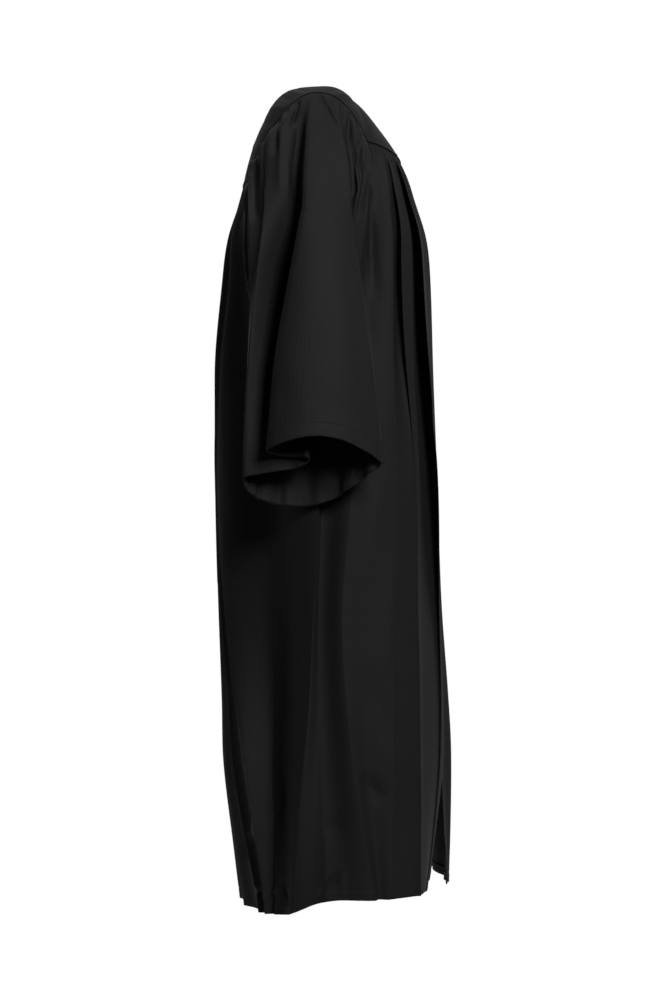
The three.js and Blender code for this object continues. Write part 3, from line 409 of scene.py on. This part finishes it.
BACK = [
    RIGHT_SEAM,
    ([112, 100, 94.2, 99.5, 106.5, 118], [0, 1, 5, 7, 7, 3], [2, 4, 4, 5, 6, 8], 1.1, 0.46, 0),
    ([141.5, 128, 126, 129, 130, 129], [0, -4, -38, -43, -34, -6], [4, 8, 4, 3, 4, 6], 1.6, 0.5, 0),
    ([150, 147, 157, 147, 135, 133], [0, 0, 0, 3, 4, -1], [4, 11, 6, 11, 12, 7], 1.05, 0.5, 0),
    ([158, 157, 165, 155, 147, 137], [0, 0, 0, 0, 0, 0], [4, 12, 8, 10, 12, 12], 1.4, 0.5, 0),
    ([166, 167, 171.5, 167, 161, 154], [0, 0, 0, 0, 0, 0], [4, 12, 9, 12, 14, 14], 1.5, 0.5, 0),
    ([174.5, 176, 177, 178, 175, 171], [0, 0, 0, 0, 0, 0], [4, 10, 8, 12, 14, 14], 1.5, 0.5, 0),
    ([183, 184, 185, 189, 189, 188], [0, 0, 0, 0, 0, 0], [4, 11, 10, 12, 12, 13], 1.5, 0.5, 0),
    ([192, 192.5, 196, 200, 203, 204], [0, 0, 0, 0, 0, 0], [4, 12, 9, 11, 13, 13], 1.4, 0.5, 0),
    ([201, 202, 208, 212, 217, 221], [0, 0, 0, 0, 0, 0], [4, 11, 7, 10, 12, 11], 1.4, 0.5, 0),
    ([210, 213, 222, 226, 231, 237], [0, 0, 0, 2, 2, 0], [4, 9, 6, 12, 12, 9], 1.2, 0.5, 0),
    ([218.5, 231, 243, 245, 247, 250], [0, 0, -12, -20, -14, -2], [2, 5, 6, 9, 10, 8], 1.5, 0.5, 0),
    ([248, 258, 263, 260, 259, 258], [0, 0, 0, 1, 2, 1], [1, 3, 4, 9, 12, 8], 1.2, 0.5, 0),
]
LEFT_SEAM = ([270, 271, 272, 271, 270, 270], [0, -1, -1, -3, -6, -4], [1, 4, 4, 8, 9, 5], 1.5, 0.5, 0)
LEFT_FRONT = [
    LEFT_SEAM,
    ([302.5, 288, 283, 281, 283, 287], [0, 0, 0, 1, 2, 0], [8, 11, 5, 7, 10, 9], 1.3, 0.42, 0),
    ([310, 306, 304, 300, 299, 298], [0, 2, 0, 0, 2, 2], [8, 30, 6, 5, 5, 6], 0.4, 0.5, 1),
    ([316, 311.5, 313, 309, 307, 306], [0, 2, 2, 2, 1, 1], [1, 1, 1, 1, 1, 1], 1.5, 0.5, 0),
    ([320.5, 318, 316, 311, 309.5, 308], [0, 3, 4, 3, 2, 2], [12, 64, 66, 30, 14, 10], 0.38, 0.44, 1),
    ([328.5, 335, 339, 336, 332, 328], [0, 3, 4, 3, 3, 2], [4, 5, 5, 8, 9, 9], 1.4, 0.5, 0),
    ([338, 343.5, 347, 346, 345, 343], [0, 0, 2, 5, 8, 9], [4, 5, 4, 5, 6, 7], 1.5, 0.5, 0),
    ([349.5, 352, 353, 351, 351, 352], [0, 0, 1, 2, 4, 6], [2, 3, 2, 2, 2, 2], 1.5, 0.5, 0),
    ([359.95, 359.9, 359.9, 359.9, 359.9, 357.5], [-1, -4, -2, -7, -14, 3],
     [0, 0, 0, 0, 0, 0], 1.5, 0.5, 0),
]

# Creases in the hanging cloth: start and end as (angle, height), width, height, bow, in mm
DEGREE_WIDE = 3.7      # mm round the gown to a degree
BODY_MARKS = [
    ((79, -1046), (66, -1080), 11, -5.0, 3), ((104, -1218), (90, -1187), 5, -4.5),
    ((90, -1178), (91, -1224), 5, 3.0), ((98, -1128), (88, -1108), 12, -2.5),
    ((120, -1050), (131, -1122), 14, -4.0, -6), ((133, -1118), (142, -1150), 9, 4.0),
    ((146, -1135), (150, -1185), 9, -4.0), ((124, -1130), (127, -1236), 5, 2.6),
    ((62, -600), (72, -760), 14, 2.0, 6), ((57, -700), (66, -900), 12, 1.6, -5),
    ((72, -880), (60, -1010), 16, -2.4, 8), ((108, -700), (121, -980), 26, -4.0, 8),
    ((93, -470), (95, -640), 16, -3.0), ((152, -560), (131, -760), 16, 1.8, 10),
    ((18, -420), (33, -640), 12, -2.0, -6), ((70, -270), (64, -420), 12, -3.0, 4),
    ((76, -300), (80, -520), 16, 2.4), ((64, -150), (63, -330), 7, -6.5, 3),
    ((205, -640), (236, -840), 18, -3.0, 9), ((250, -900), (231, -1090), 16, 3.0, -8),
    ((282, -860), (296, -1020), 15, -3.0, 7), ((262, -1090), (276, -1180), 12, -3.0),
    ((300, -560), (292, -800), 14, 2.0, -6), ((338, -700), (325, -930), 15, -2.0, 6),
    ((168, -760), (150, -960), 15, -2.4, 7), ((190, -900), (212, -1090), 15, 2.4, -6),
    ((176, -520), (186, -760), 14, 2.0, 5), ((143, -1219), (134, -1238), 5, -4.0),
    ((134, -1237), (125, -1209), 4, 3.0), ((125, -1209), (118, -1239), 5, -4.0),
    ((57.8, -98), (62, -160), 5, -7.0), ((62, -120), (71, -205), 5, -5.0, 3),
    ((51.5, -130), (51, -260), 4, 2.0), ((296, -300), (300, -470), 9, -4.0, -3),
    ((262, -320), (255, -560), 16, -2.6, 6), ((234, -240), (240, -430), 10, -3.0, 4),
]


# The small pleats in a seam, least and most: from the corner to the first one, from one to the
# next, and half width, in degrees; depth and length in mm; slant in degrees to a mm
GATHER_FIRST, GATHER_STEP, GATHER_WIDE = (0.5, 1.5), (2.2, 4.4), (0.6, 1.25)
GATHER_DEEP, GATHER_LONG, GATHER_LEAN = (0.8, 2.4), (26, 105), (-0.02, 0.02)
GATHER_AT_SEAM = 0.25  # share of a pleat's depth that is left in the seam itself


def seam_gathers(angle, below, first, last, seed):
    """Small pleats pushed into a seam, uneven in place, depth and length, fading below it."""
    draw = np.random.default_rng(seed)
    height = np.zeros(np.broadcast(angle, below).shape)
    at = first + draw.uniform(*GATHER_FIRST)
    while at < last:
        wide = draw.uniform(*GATHER_WIDE)
        deep = draw.uniform(*GATHER_DEEP)
        length = draw.uniform(*GATHER_LONG)
        lean = draw.uniform(*GATHER_LEAN)
        near = np.exp(-((folded_angle(angle) - at - lean * below) / wide) ** 2)
        open_below = np.clip(below / SEAM_FLAT + GATHER_AT_SEAM, 0, 1)
        height -= deep * near * np.exp(-(below / length) ** 1.6) * open_below
        at += draw.uniform(*GATHER_STEP)
    return height


def hem_height(angle):
    """Height of the hem at an angle from centre front."""
    angles, heights = zip(*HEM)
    return curve(angles, heights, angle)


def fold_value(row, i, z):
    """One of a fold's lists, read at the heights z."""
    return curve([top_z(row[0][0])] + FOLD_LEVELS, row[i], z)


def from_crest_to_crest(before, here, after, beyond, t):
    """Smooth step from one crest's value to the next one's, in line with those beside them."""
    return hermite(here, after, (after - before) / 2, (beyond - here) / 2, t)


def panel_cloth(rows, steps, down, seed, inside=0.0, low=None):
    """Points of a body panel: steps columns to a fold, down rows from seam to hem. inside
    sinks it behind its own face, and low keeps only that height above the hem, in mm."""
    angles, outs, sides, heights = [], [], [], []
    for k in range(len(rows) - 1):
        count = steps + (k == len(rows) - 2)
        t = (1 - np.cos(np.pi * np.arange(count) / steps))[:, None] / 2
        near = [rows[max(k - 1, 0)], rows[k], rows[k + 1], rows[min(k + 2, len(rows) - 1)]]
        here, after = rows[k], rows[k + 1]
        top_angle = here[0][0] + (after[0][0] - here[0][0]) * t
        hem_angle = here[0][-1] + (after[0][-1] - here[0][-1]) * t
        top, hem = top_z(top_angle), hem_height(hem_angle)
        z = top + (hem - top) * down[None, :] if low is None else hem + low * (1 - down[None, :])
        crisp, bottom, sideways = here[3:]
        stand = from_crest_to_crest(*(fold_value(row, 1, z) for row in near), t)
        across = t ** (math.log(0.5) / math.log(bottom))
        valley = fold_value(here, 2, z) * np.sin(np.pi * across) ** crisp
        ease = np.clip((top - z) / SEAM_EASE, 0, 1)
        ease = SEAM_SHARE + (1 - SEAM_SHARE) * ease * ease * (3 - 2 * ease)
        opened = np.clip((top - z) / CREST_FREE, 0, 1)
        below_seam = fold_value(here, 0, z) * (1 - t) + fold_value(after, 0, z) * t
        angles.append(top_angle * (1 - opened) + below_seam * opened)
        outs.append((stand - valley * (1 - sideways)) * ease)
        sides.append(valley * sideways * ease)
        heights.append(z)
    angle, out, side, z = (np.concatenate(part) for part in (angles, outs, sides, heights))
    folded = folded_angle(angle)
    below = np.clip(top_z(angle) - z, 0, None)
    on_seam = (folded < FRONT_CORNER) | (folded > BACK_CORNER)
    out += seam_gathers(angle, below, 0, FRONT_CORNER, seed) * (folded < 100)
    out += seam_gathers(angle, below, BACK_CORNER, 180, seed + 1) * (folded > 100)
    out += pressed(BODY_MARKS, angle, z, scale=(DEGREE_WIDE, 1.0))
    up = z - hem_height(angle)
    ripple = np.sin(angle * 2.9 + 2.2 * np.sin(angle * 0.63)) * np.sin(angle * 0.83 + 1.1)
    out += HEM_RIPPLE * ripple * np.exp(-(up / RIPPLE_HIGH) ** 2)
    out += stitched(up, HEM_TURN, HEM_STITCH_DEEP, HEM_STITCH_WIDE) + HEM_PROUD * (up < HEM_TURN)
    out += stitched(np.abs(body_form(angle, z)[..., 0]), ZIP_STITCH) * (folded < 60)
    out -= np.where(on_seam, SEAM_PULL, ARMHOLE_PULL) * np.clip(1 - below / SEAM_FLAT, 0, 1)
    points = body_form(angle, z) + body_out(angle, z) * (out - inside)[..., None]
    points[..., 0] += np.where(angle < 180, side, -side)
    if low is not None:
        return points
    edge = angle[:, :1]
    inward = points[:, :1] - body_out(edge, z[:, :1]) * TUCK
    tucked = np.where(on_seam[:, :1, None], yoke_tuck(edge), inward)
    return np.concatenate([tucked, points], axis=1)


def spaced(sections):
    """Shares from 0 to 1 with so many steps up to each stated share."""
    shares = [0.0]
    for end, count in sections:
        shares += list(np.linspace(shares[-1], end, count + 1)[1:])
    return np.array(shares)


# Share of the way down, and steps up to it, closest at seam and hem. Then each panel: its folds,
# points to a fold, seed of its gathers, flat size in m, area in m2, what it hangs from.
PANEL_DOWN = spaced([(0.012, 5), (0.1, 24), (0.965, 120), (1.0, 22)])
PANELS = [
    ("front_right", RIGHT_FRONT + [RIGHT_SEAM], 20, 3, (0.60, 1.16), 0.49, ["yoke_front_right"]),
    ("front_left", LEFT_FRONT, 20, 5, (0.60, 1.16), 0.49, ["yoke_front_left"]),
    ("back", BACK + [LEFT_SEAM], 14, 8, (1.12, 1.13), 0.90, ["yoke_back"]),
]
for stands_for, rows, steps, seed, flat, area, hung_from in PANELS:
    piece = cloth_piece(stands_for + "_cloth", panel_cloth(rows, steps, PANEL_DOWN, seed))
    piece.data.materials.append(cloth)
    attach(piece, "gown")
    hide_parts(stands_for)
    under = panel_cloth(rows, 8, np.linspace(0, 1, 5), seed, inside=CLOTH_THICK + TURN_GAP, low=HEM_TURN)
    turned = cloth_piece(stands_for + "_hem", under, thick=TURN_THICK)
    turned.data.materials.append(cloth)
    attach(turned, "gown")

# The sleeves: one wide bell of the cloth each, gathered over the shoulder into the yoke's
# edge and the armhole, hanging in two big lobes with a deep valley between them behind. The
# cuff is open, with a 20 mm hem puckered where it is stitched.
SLEEVE_LENGTH = 560.0
CUFF_TURN = 20.0       # height of the turned-up hem, and the groove of its stitches
CUFF_STITCH_DEEP, CUFF_STITCH_WIDE = 0.6, 1.5
CUFF_PUCKER = 1.8      # height of the puckers, how far up they are highest, how far they reach
PUCKER_UP, PUCKER_HIGH = 8.0, 22.0
SLEEVE_EASE = 0.05     # share of the length in which the folds open, and their share at its start
SLEEVE_EASE_LEAST = 0.2
SLEEVE_TUCK_IN = 1.5   # how far inside the body cloth the sleeve's edge is sewn
CUFF_FLAT_FROM = 0.3   # share of the length where the front half begins to flatten to a corner
CORNER_SHARP = 1.7
# Worn form of the right sleeve: share of its length, how far out its outer and inner lines
# lie, where its front and its back lie, and the heights of the outer and inner lines
SLEEVE_FORM = np.array([
    (0.14, 232, 214, -76, 112, -74, -250), (0.30, 262, 221, -59, 112, -165, -312),
    (0.50, 292, 227, -73, 100, -275, -402), (0.74, 320, 237, -88, 104, -405, -515),
    (1.00, 345, 249, -101, 109, -540, -642)], dtype=float)
HEAD = 0.14            # share of the length in which it swings out of the armhole, and how strongly
HEAD_OUT, HEAD_DROP = 58.0, 14.0
CUFF_BACK_DROP, CUFF_FRONT_RISE = 12.0, 12.0

# Folds as for the body, at the armhole and at the five shares above; angles run round the
# sleeve from its outermost line forwards. The fourth list sinks a crest into the sleeve, and
# the last value is 1 where a crest's stand is measured backwards, not outwards.
ZERO = [0, 0, 0, 0, 0, 0]       # a crest that neither stands off nor sinks in
SLEEVE_FOLDS = [
    ([-4, 2, 5, -15, -33, -41], ZERO, [2, 3, 2, 2, 1, 1], ZERO, 1.5, 0.0),
    ([8, 40, 73, 86, 89, 90], ZERO, [3, 9, 9, 5, 3, 3], ZERO, 1.0, 0.0),
    ([35, 62, 86, 101, 107, 112], ZERO, [3, 6, 6, 4, 4, 5], ZERO, 1.3, 0.0),
    ([58, 76, 94, 116, 126, 135], ZERO, [3, 5, 3, 4, 5, 7], ZERO, 1.4, 0.0),
    ([76, 92, 112, 138, 150, 160], ZERO, [1, 2, 2, 3, 4, 6], ZERO, 1.6, 0.0),
    ([128, 132, 142, 164, 176, 188], ZERO, [1, 2, 2, 3, 4, 6], ZERO, 1.6, 0.0),
    ([180, 180, 184, 196, 204, 212], ZERO, [1, 2, 2, 3, 4, 6], ZERO, 1.6, 0.0),
    ([222, 220, 218, 222, 228, 234], ZERO, [1, 2, 3, 3, 3, 3], ZERO, 1.6, 0.0),
    ([264, 262, 262, 252, 248, 250], ZERO, [4, 10, 9, 3, 1, 1], ZERO, 1.4, 0.2),
    ([285, 292, 298, 280, 264, 260], ZERO, [3, 9, 10, 3, 2, 1], ZERO, 1.3, 0.6),
    ([302, 314, 324, 302, 288, 275], [0, 0, 0, 0, -2, -6], [3, 7, 5, 2, 2, 2], ZERO, 1.3, 1.0),
    ([332, 342, 350, 322, 304, 290], [0, 0, 0, -20, -50, -74],
     [2, 2, 1, 1, 1, 1], [0, 0, 8, 54, 60, 12], 1.3, 1.0),
    ([345, 354, 358, 335, 316, 306], [0, 0, 0, -30, -58, -76],
     [2, 2, 1, 1, 1, 1], [0, 10, 32, 64, 66, 14], 1.3, 1.0),
]

# Creases on the right sleeve: start and end as (angle, share down), width, height, bow, in mm
SLEEVE_SCALE = (1.35, 600.0)    # mm to a degree round, and to the whole length down
SLEEVE_MARKS = [
    ((-15, 0.02), (-12, 0.13), 3.5, -8.0), ((-4, 0.09), (-2, 0.38), 5, -7.0, 1),
    ((4, 0.012), (10, 0.06), 2.5, -4.5), ((9, 0.05), (33, 0.115), 2.8, -5.0, 1),
    ((16, 0.012), (27, 0.085), 2.8, -4.5, -1), ((26, 0.01), (35, 0.07), 2.5, -3.5),
    ((39, 0.01), (47, 0.12), 3.5, -8.0, 1), ((50, 0.02), (60, 0.12), 3.5, -5.0),
    ((61, 0.02), (73, 0.27), 4, -6.0, 2), ((70, 0.05), (88, 0.24), 4.5, -3.0, 3),
    ((82, 0.05), (98, 0.22), 4.5, -2.0, 2), ((20, 0.22), (24, 0.38), 2.5, 1.6),
    ((-36, 0.01), (-31, 0.19), 4, -10.0, -1), ((-26, 0.01), (-23, 0.09), 3, -5.0),
    ((-52, 0.02), (-40, 0.27), 5, -14.0, 1), ((-62, 0.06), (-54, 0.34), 5, -9.0, 2),
    ((292, 0.04), (297, 0.22), 4.5, -8.0, 2), ((-45, 0.01), (-43, 0.08), 3, 3.0),
    ((276, 0.05), (280, 0.24), 5, -8.0, -2), ((266, 0.08), (262, 0.36), 6, -6.0, 3),
    ((336, 0.10), (338, 0.30), 6, 4.0, 2), ((10, 0.62), (2, 0.97), 14, -2.4, 5),
    ((30, 0.50), (26, 0.90), 16, 1.8, -4), ((48, 0.42), (60, 0.86), 14, -2.0, 5),
    ((332, 0.80), (352, 0.99), 7, -3.0, 3), ((345, 0.86), (354, 1.0), 5, 2.4),
    ((20, 0.30), (32, 0.52), 12, -1.4, 4), ((64, 0.60), (80, 0.92), 10, 1.8, -3),
    ((256, 0.55), (262, 0.92), 8, -2.0, 3),
]


def armhole_half(corner):
    """Edge of the armhole from the shoulder tip to the underarm, the line behind it where the
    sleeve's edge is tucked in, and the share of the way at each of their points."""
    to_corner = np.linspace(SIDE + 0.001 * np.sign(corner - SIDE), corner, 40)
    eased = corner + (SIDE - corner) * (1 - np.cos(np.linspace(0, math.pi / 2, 60)))
    below = body_form(eased, top_z(eased) - TUCK) - body_out(eased, top_z(eased)) * SLEEVE_TUCK_IN
    edge = np.concatenate([yoke_edge(to_corner[:-1]), body_form(eased, top_z(eased))])
    tuck = np.concatenate([yoke_tuck(to_corner[:-1]), below])
    along = np.concatenate([[0], np.cumsum(np.linalg.norm(np.diff(edge, axis=0), axis=1))])
    return edge, tuck, along / along[-1]


ARMHOLE_FRONT, ARMHOLE_BACK = armhole_half(FRONT_CORNER), armhole_half(BACK_CORNER)


def armhole(angle, tucked=False):
    """Point of the armhole's edge, or of the tucked line, at an angle round the sleeve."""
    turn = np.asarray(angle, float) % 360
    halves = []
    for (edge, tuck, along), share in ((ARMHOLE_FRONT, turn / 180), (ARMHOLE_BACK, (360 - turn) / 180)):
        line = tuck if tucked else edge
        halves.append(np.stack([np.interp(np.clip(share, 0, 1), along, line[:, i]) for i in range(3)], -1))
    return np.where((turn <= 180)[..., None], *halves)


def sleeve_ring(angle, v):
    """Round the sleeve at a share of its length; at the cuff it flattens to a sharp front corner."""
    outer, inner, front, back, outer_z, inner_z = (
        curve(SLEEVE_FORM[:, 0], SLEEVE_FORM[:, i], v) for i in range(1, 7))
    c, s = np.cos(np.radians(angle)), np.sin(np.radians(angle))
    flat = np.clip((v - CUFF_FLAT_FROM) / (1 - CUFF_FLAT_FROM), 0, 1) * (s > 0)
    c = c * (1 - flat) + np.sign(c) * (1 - np.abs(s) ** CORNER_SHARP) * flat
    tilt = np.where(s < 0, CUFF_BACK_DROP, CUFF_FRONT_RISE) * s * v
    return np.stack([-(outer + inner) / 2 - (outer - inner) / 2 * c,
                     (front + back) / 2 - (back - front) / 2 * s,
                     (outer_z + inner_z) / 2 + (outer_z - inner_z) / 2 * c + tilt], -1)


def sleeve_form(angle, v):
    """Point of the right sleeve's worn form; its head swings out of the armhole."""
    angle, v = np.broadcast_arrays(np.asarray(angle, float), np.asarray(v, float))
    ring = sleeve_ring(angle, np.maximum(v, HEAD))
    step = 0.02
    end = sleeve_ring(angle, np.full_like(v, HEAD))
    arrive = (sleeve_ring(angle, np.full_like(v, HEAD + step)) - end) / step * HEAD
    c = np.cos(np.radians(angle))
    leave = np.stack([0 * c - HEAD_OUT, 0 * c, -HEAD_DROP * (1 + c)], -1)
    t = np.clip(v / HEAD, 0, 1)[..., None]
    return np.where((v < HEAD)[..., None], hermite(armhole(angle), end, leave, arrive, t), ring)


def sleeve_cloth(rows, steps, down, inside=0.0):
    """Points of the right sleeve: steps columns to a fold, shares down as given. inside sinks
    it behind its own face."""
    levels = [0.0] + list(SLEEVE_FORM[:, 0])
    count = len(rows)
    wrapped = rows + [([a + 360 for a in rows[0][0]],) + rows[0][1:]]
    v = np.asarray(down, float)[None, :]
    t = (np.arange(steps) / steps)[:, None]
    angles, outs, sinks, turns = [], [], [], []
    for k in range(count):
        here, after = wrapped[k], wrapped[k + 1]
        near = [wrapped[k - 1 if k else count - 1], here, after, wrapped[(k + 2) % count]]
        stand = from_crest_to_crest(*(curve(levels, row[1], v) for row in near), t)
        angles.append(curve(levels, here[0], v) * (1 - t) + curve(levels, after[0], v) * t)
        outs.append(stand - curve(levels, here[2], v) * np.sin(np.pi * t) ** here[4])
        sinks.append(from_crest_to_crest(*(curve(levels, row[3], v) for row in near), t))
        turns.append(0 * stand + here[5] * (1 - t) + after[5] * t)
    angle, out, sunk, turn = (np.concatenate(part) for part in (angles, outs, sinks, turns))
    v = np.broadcast_to(v, angle.shape)
    out = out * np.clip(v / SLEEVE_EASE, SLEEVE_EASE_LEAST, 1)
    creases = pressed(SLEEVE_MARKS, angle % 360, v, scale=SLEEVE_SCALE)
    creases += pressed(SLEEVE_MARKS, angle % 360 - 360, v, scale=SLEEVE_SCALE)
    up = (1 - v) * SLEEVE_LENGTH
    pucker = np.sin(angle * 0.42 + 1.7 * np.sin(angle * 0.13)) * np.sin(angle * 0.19 + 0.6)
    creases += CUFF_PUCKER * pucker * np.exp(-((up - PUCKER_UP) / PUCKER_HIGH) ** 2)
    creases += stitched(up, CUFF_TURN, CUFF_STITCH_DEEP, CUFF_STITCH_WIDE)
    form = sleeve_form(angle, v)
    round_step = sleeve_form(angle + 1, v) - sleeve_form(angle - 1, v)
    down_step = sleeve_form(angle, np.minimum(v + 0.01, 1)) - sleeve_form(angle, np.maximum(v - 0.01, 0))
    outward = unit(np.cross(down_step, round_step))
    away = form - (sleeve_form(0 * angle, v) + sleeve_form(0 * angle + 180, v)) / 2
    outward *= np.where((outward * away).sum(-1, keepdims=True) < 0, -1.0, 1.0)
    push = unit(outward * (1 - turn)[..., None] + np.array([0, 1.0, 0]) * turn[..., None])
    points = form + push * out[..., None]
    points[..., 0] += sunk
    across = np.roll(points, -1, axis=0) - np.roll(points, 1, axis=0)
    normal = unit(np.cross(np.gradient(points, axis=1), across))
    points = points + normal * (creases - inside)[..., None]
    if inside:
        return points
    return np.concatenate([armhole(angle[:, :1], tucked=True), points], axis=1)


# Share of the way down, and steps up to it; then each sleeve, its side, what it hangs from
SLEEVE_DOWN = spaced([(0.06, 12), (0.94, 110), (1.0, 16)])
SLEEVES = [
    ("sleeve_right", 1, ["yoke_front_right", "yoke_back"]),
    ("sleeve_left", -1, ["yoke_front_left", "yoke_back"]),
]
for stands_for, side, hung_from in SLEEVES:
    mirror = np.array([side, 1, 1])
    outer = sleeve_cloth(SLEEVE_FOLDS, 14, SLEEVE_DOWN) * mirror
    piece = cloth_piece(stands_for + "_cloth", outer, facing=-side, closed=True)
    piece.data.materials.append(cloth)
    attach(piece, "gown")
    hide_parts(stands_for)
    turn_down = np.linspace(1 - CUFF_TURN / SLEEVE_LENGTH, 1, 6)
    under = sleeve_cloth(SLEEVE_FOLDS, 8, turn_down, inside=CLOTH_THICK + TURN_GAP) * mirror
    turned = cloth_piece(stands_for + "_hem", under, facing=-side, closed=True, thick=TURN_THICK)
    turned.data.materials.append(cloth)
    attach(turned, "gown")

# The zip: woven tape stitched behind the two centre edges, and at the neck a slider with its
# bail and a pull, all of zinc. The closed teeth lie behind the edges, out of sight.
tape = gown_cloth("woven zip tape", "#161618", "#1c1c1f")

# Die-cast zinc, enamelled black: a smooth skin with a soft, wide highlight.
enamel = bpy.data.materials.new("black enamelled zinc")
enamel.use_nodes = True
shader = enamel.node_tree.nodes["Principled BSDF"]
shader.inputs["Base Color"].default_value = linear("#19191b")
shader.inputs["Roughness"].default_value = 0.45
for name, finish in (("zip_tape", tape), ("zip_slider", enamel), ("zip_bail", enamel), ("zip_pull", enamel)):
    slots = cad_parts[name].data.materials
    slots.clear()
    slots.append(finish)

# The studio: a plain pale floor, a pale surround, one large soft light from the wearer's
# right and a little from the front, higher than the shoulders, and a weak one overhead.
FLOOR_Z = -1.6
FLOOR_RADIUS = 0.8
STUDIO_DIM = 0.03      # strength of the surround's light from the camera's side
STUDIO_BACKDROP = 0.6  # and from behind the gown
bpy.ops.object.select_all(action="DESELECT")
bpy.ops.mesh.primitive_circle_add(
    vertices=96, radius=FLOOR_RADIUS, fill_type="NGON", location=(0, 0, FLOOR_Z))
floor = bpy.context.object
floor.name = "floor"
# Matt painted board, pale and even.
pale = bpy.data.materials.new("pale painted board")
pale.use_nodes = True
shader = pale.node_tree.nodes["Principled BSDF"]
shader.inputs["Base Color"].default_value = linear("#f4f4f4")
shader.inputs["Roughness"].default_value = 0.9
floor.data.materials.append(pale)

world = bpy.data.worlds.new("studio surround")
bpy.context.scene.world = world
world.use_nodes = True
background = world.node_tree.nodes["Background"]
background.inputs["Color"].default_value = (1, 1, 1, 1)
seen = node(world.node_tree, "ShaderNodeLightPath")
toward = node(world.node_tree, "ShaderNodeTexCoord")
split = node(world.node_tree, "ShaderNodeSeparateXYZ", None, {"Vector": toward.outputs["Generated"]})
as_light = node(world.node_tree, "ShaderNodeMapRange", {
    "From Min": 0.0, "From Max": 1.0, "To Min": STUDIO_DIM, "To Max": STUDIO_BACKDROP,
}, {"Value": split.outputs["X"]})
strength = node(world.node_tree, "ShaderNodeMix", {"B": 1.0}, {
    "A": as_light.outputs["Result"], "Factor": seen.outputs["Is Camera Ray"]})
world.node_tree.links.new(strength.outputs["Result"], background.inputs["Strength"])


def soft_light(name, place, aim, size, power):
    """Square lamp turned from its place to its aim, so many metres wide, in watts."""
    data = bpy.data.lights.new(name, "AREA")
    data.size = size
    data.energy = power
    lamp = bpy.data.objects.new(name, data)
    bpy.context.scene.collection.objects.link(lamp)
    lamp.location = place
    toward = [a - p for a, p in zip(aim, place)]
    flat = math.hypot(toward[0], toward[1])
    lamp.rotation_euler = (math.atan2(flat, -toward[2]), 0, math.atan2(-toward[0], toward[1]))


soft_light("key", (-2.5, -1.2, 1.0), (0, 0, -0.5), 1.1, 50)
soft_light("overhead", (0.0, 0.25, 1.6), (0, 0.05, -0.1), 1.0, 5)

# The camera looks at the wearer's right side, level with the middle of the gown, through a
# long lens: the photograph's frame is 1.6 m high at 4 m.
CAMERA_PLACE = (-4.0, -0.0264, -0.633)
FRAME_HEIGHT = 1.6
SENSOR = 36.0
camera_data = bpy.data.cameras.new("camera")
camera_data.sensor_width = SENSOR
camera_data.lens = SENSOR * -CAMERA_PLACE[0] / FRAME_HEIGHT
camera = bpy.data.objects.new("camera", camera_data)
bpy.context.scene.collection.objects.link(camera)
camera.location = CAMERA_PLACE
camera.rotation_euler = (math.pi / 2, 0, -math.pi / 2)
bpy.context.scene.camera = camera
bpy.context.scene.view_settings.view_transform = "Standard"
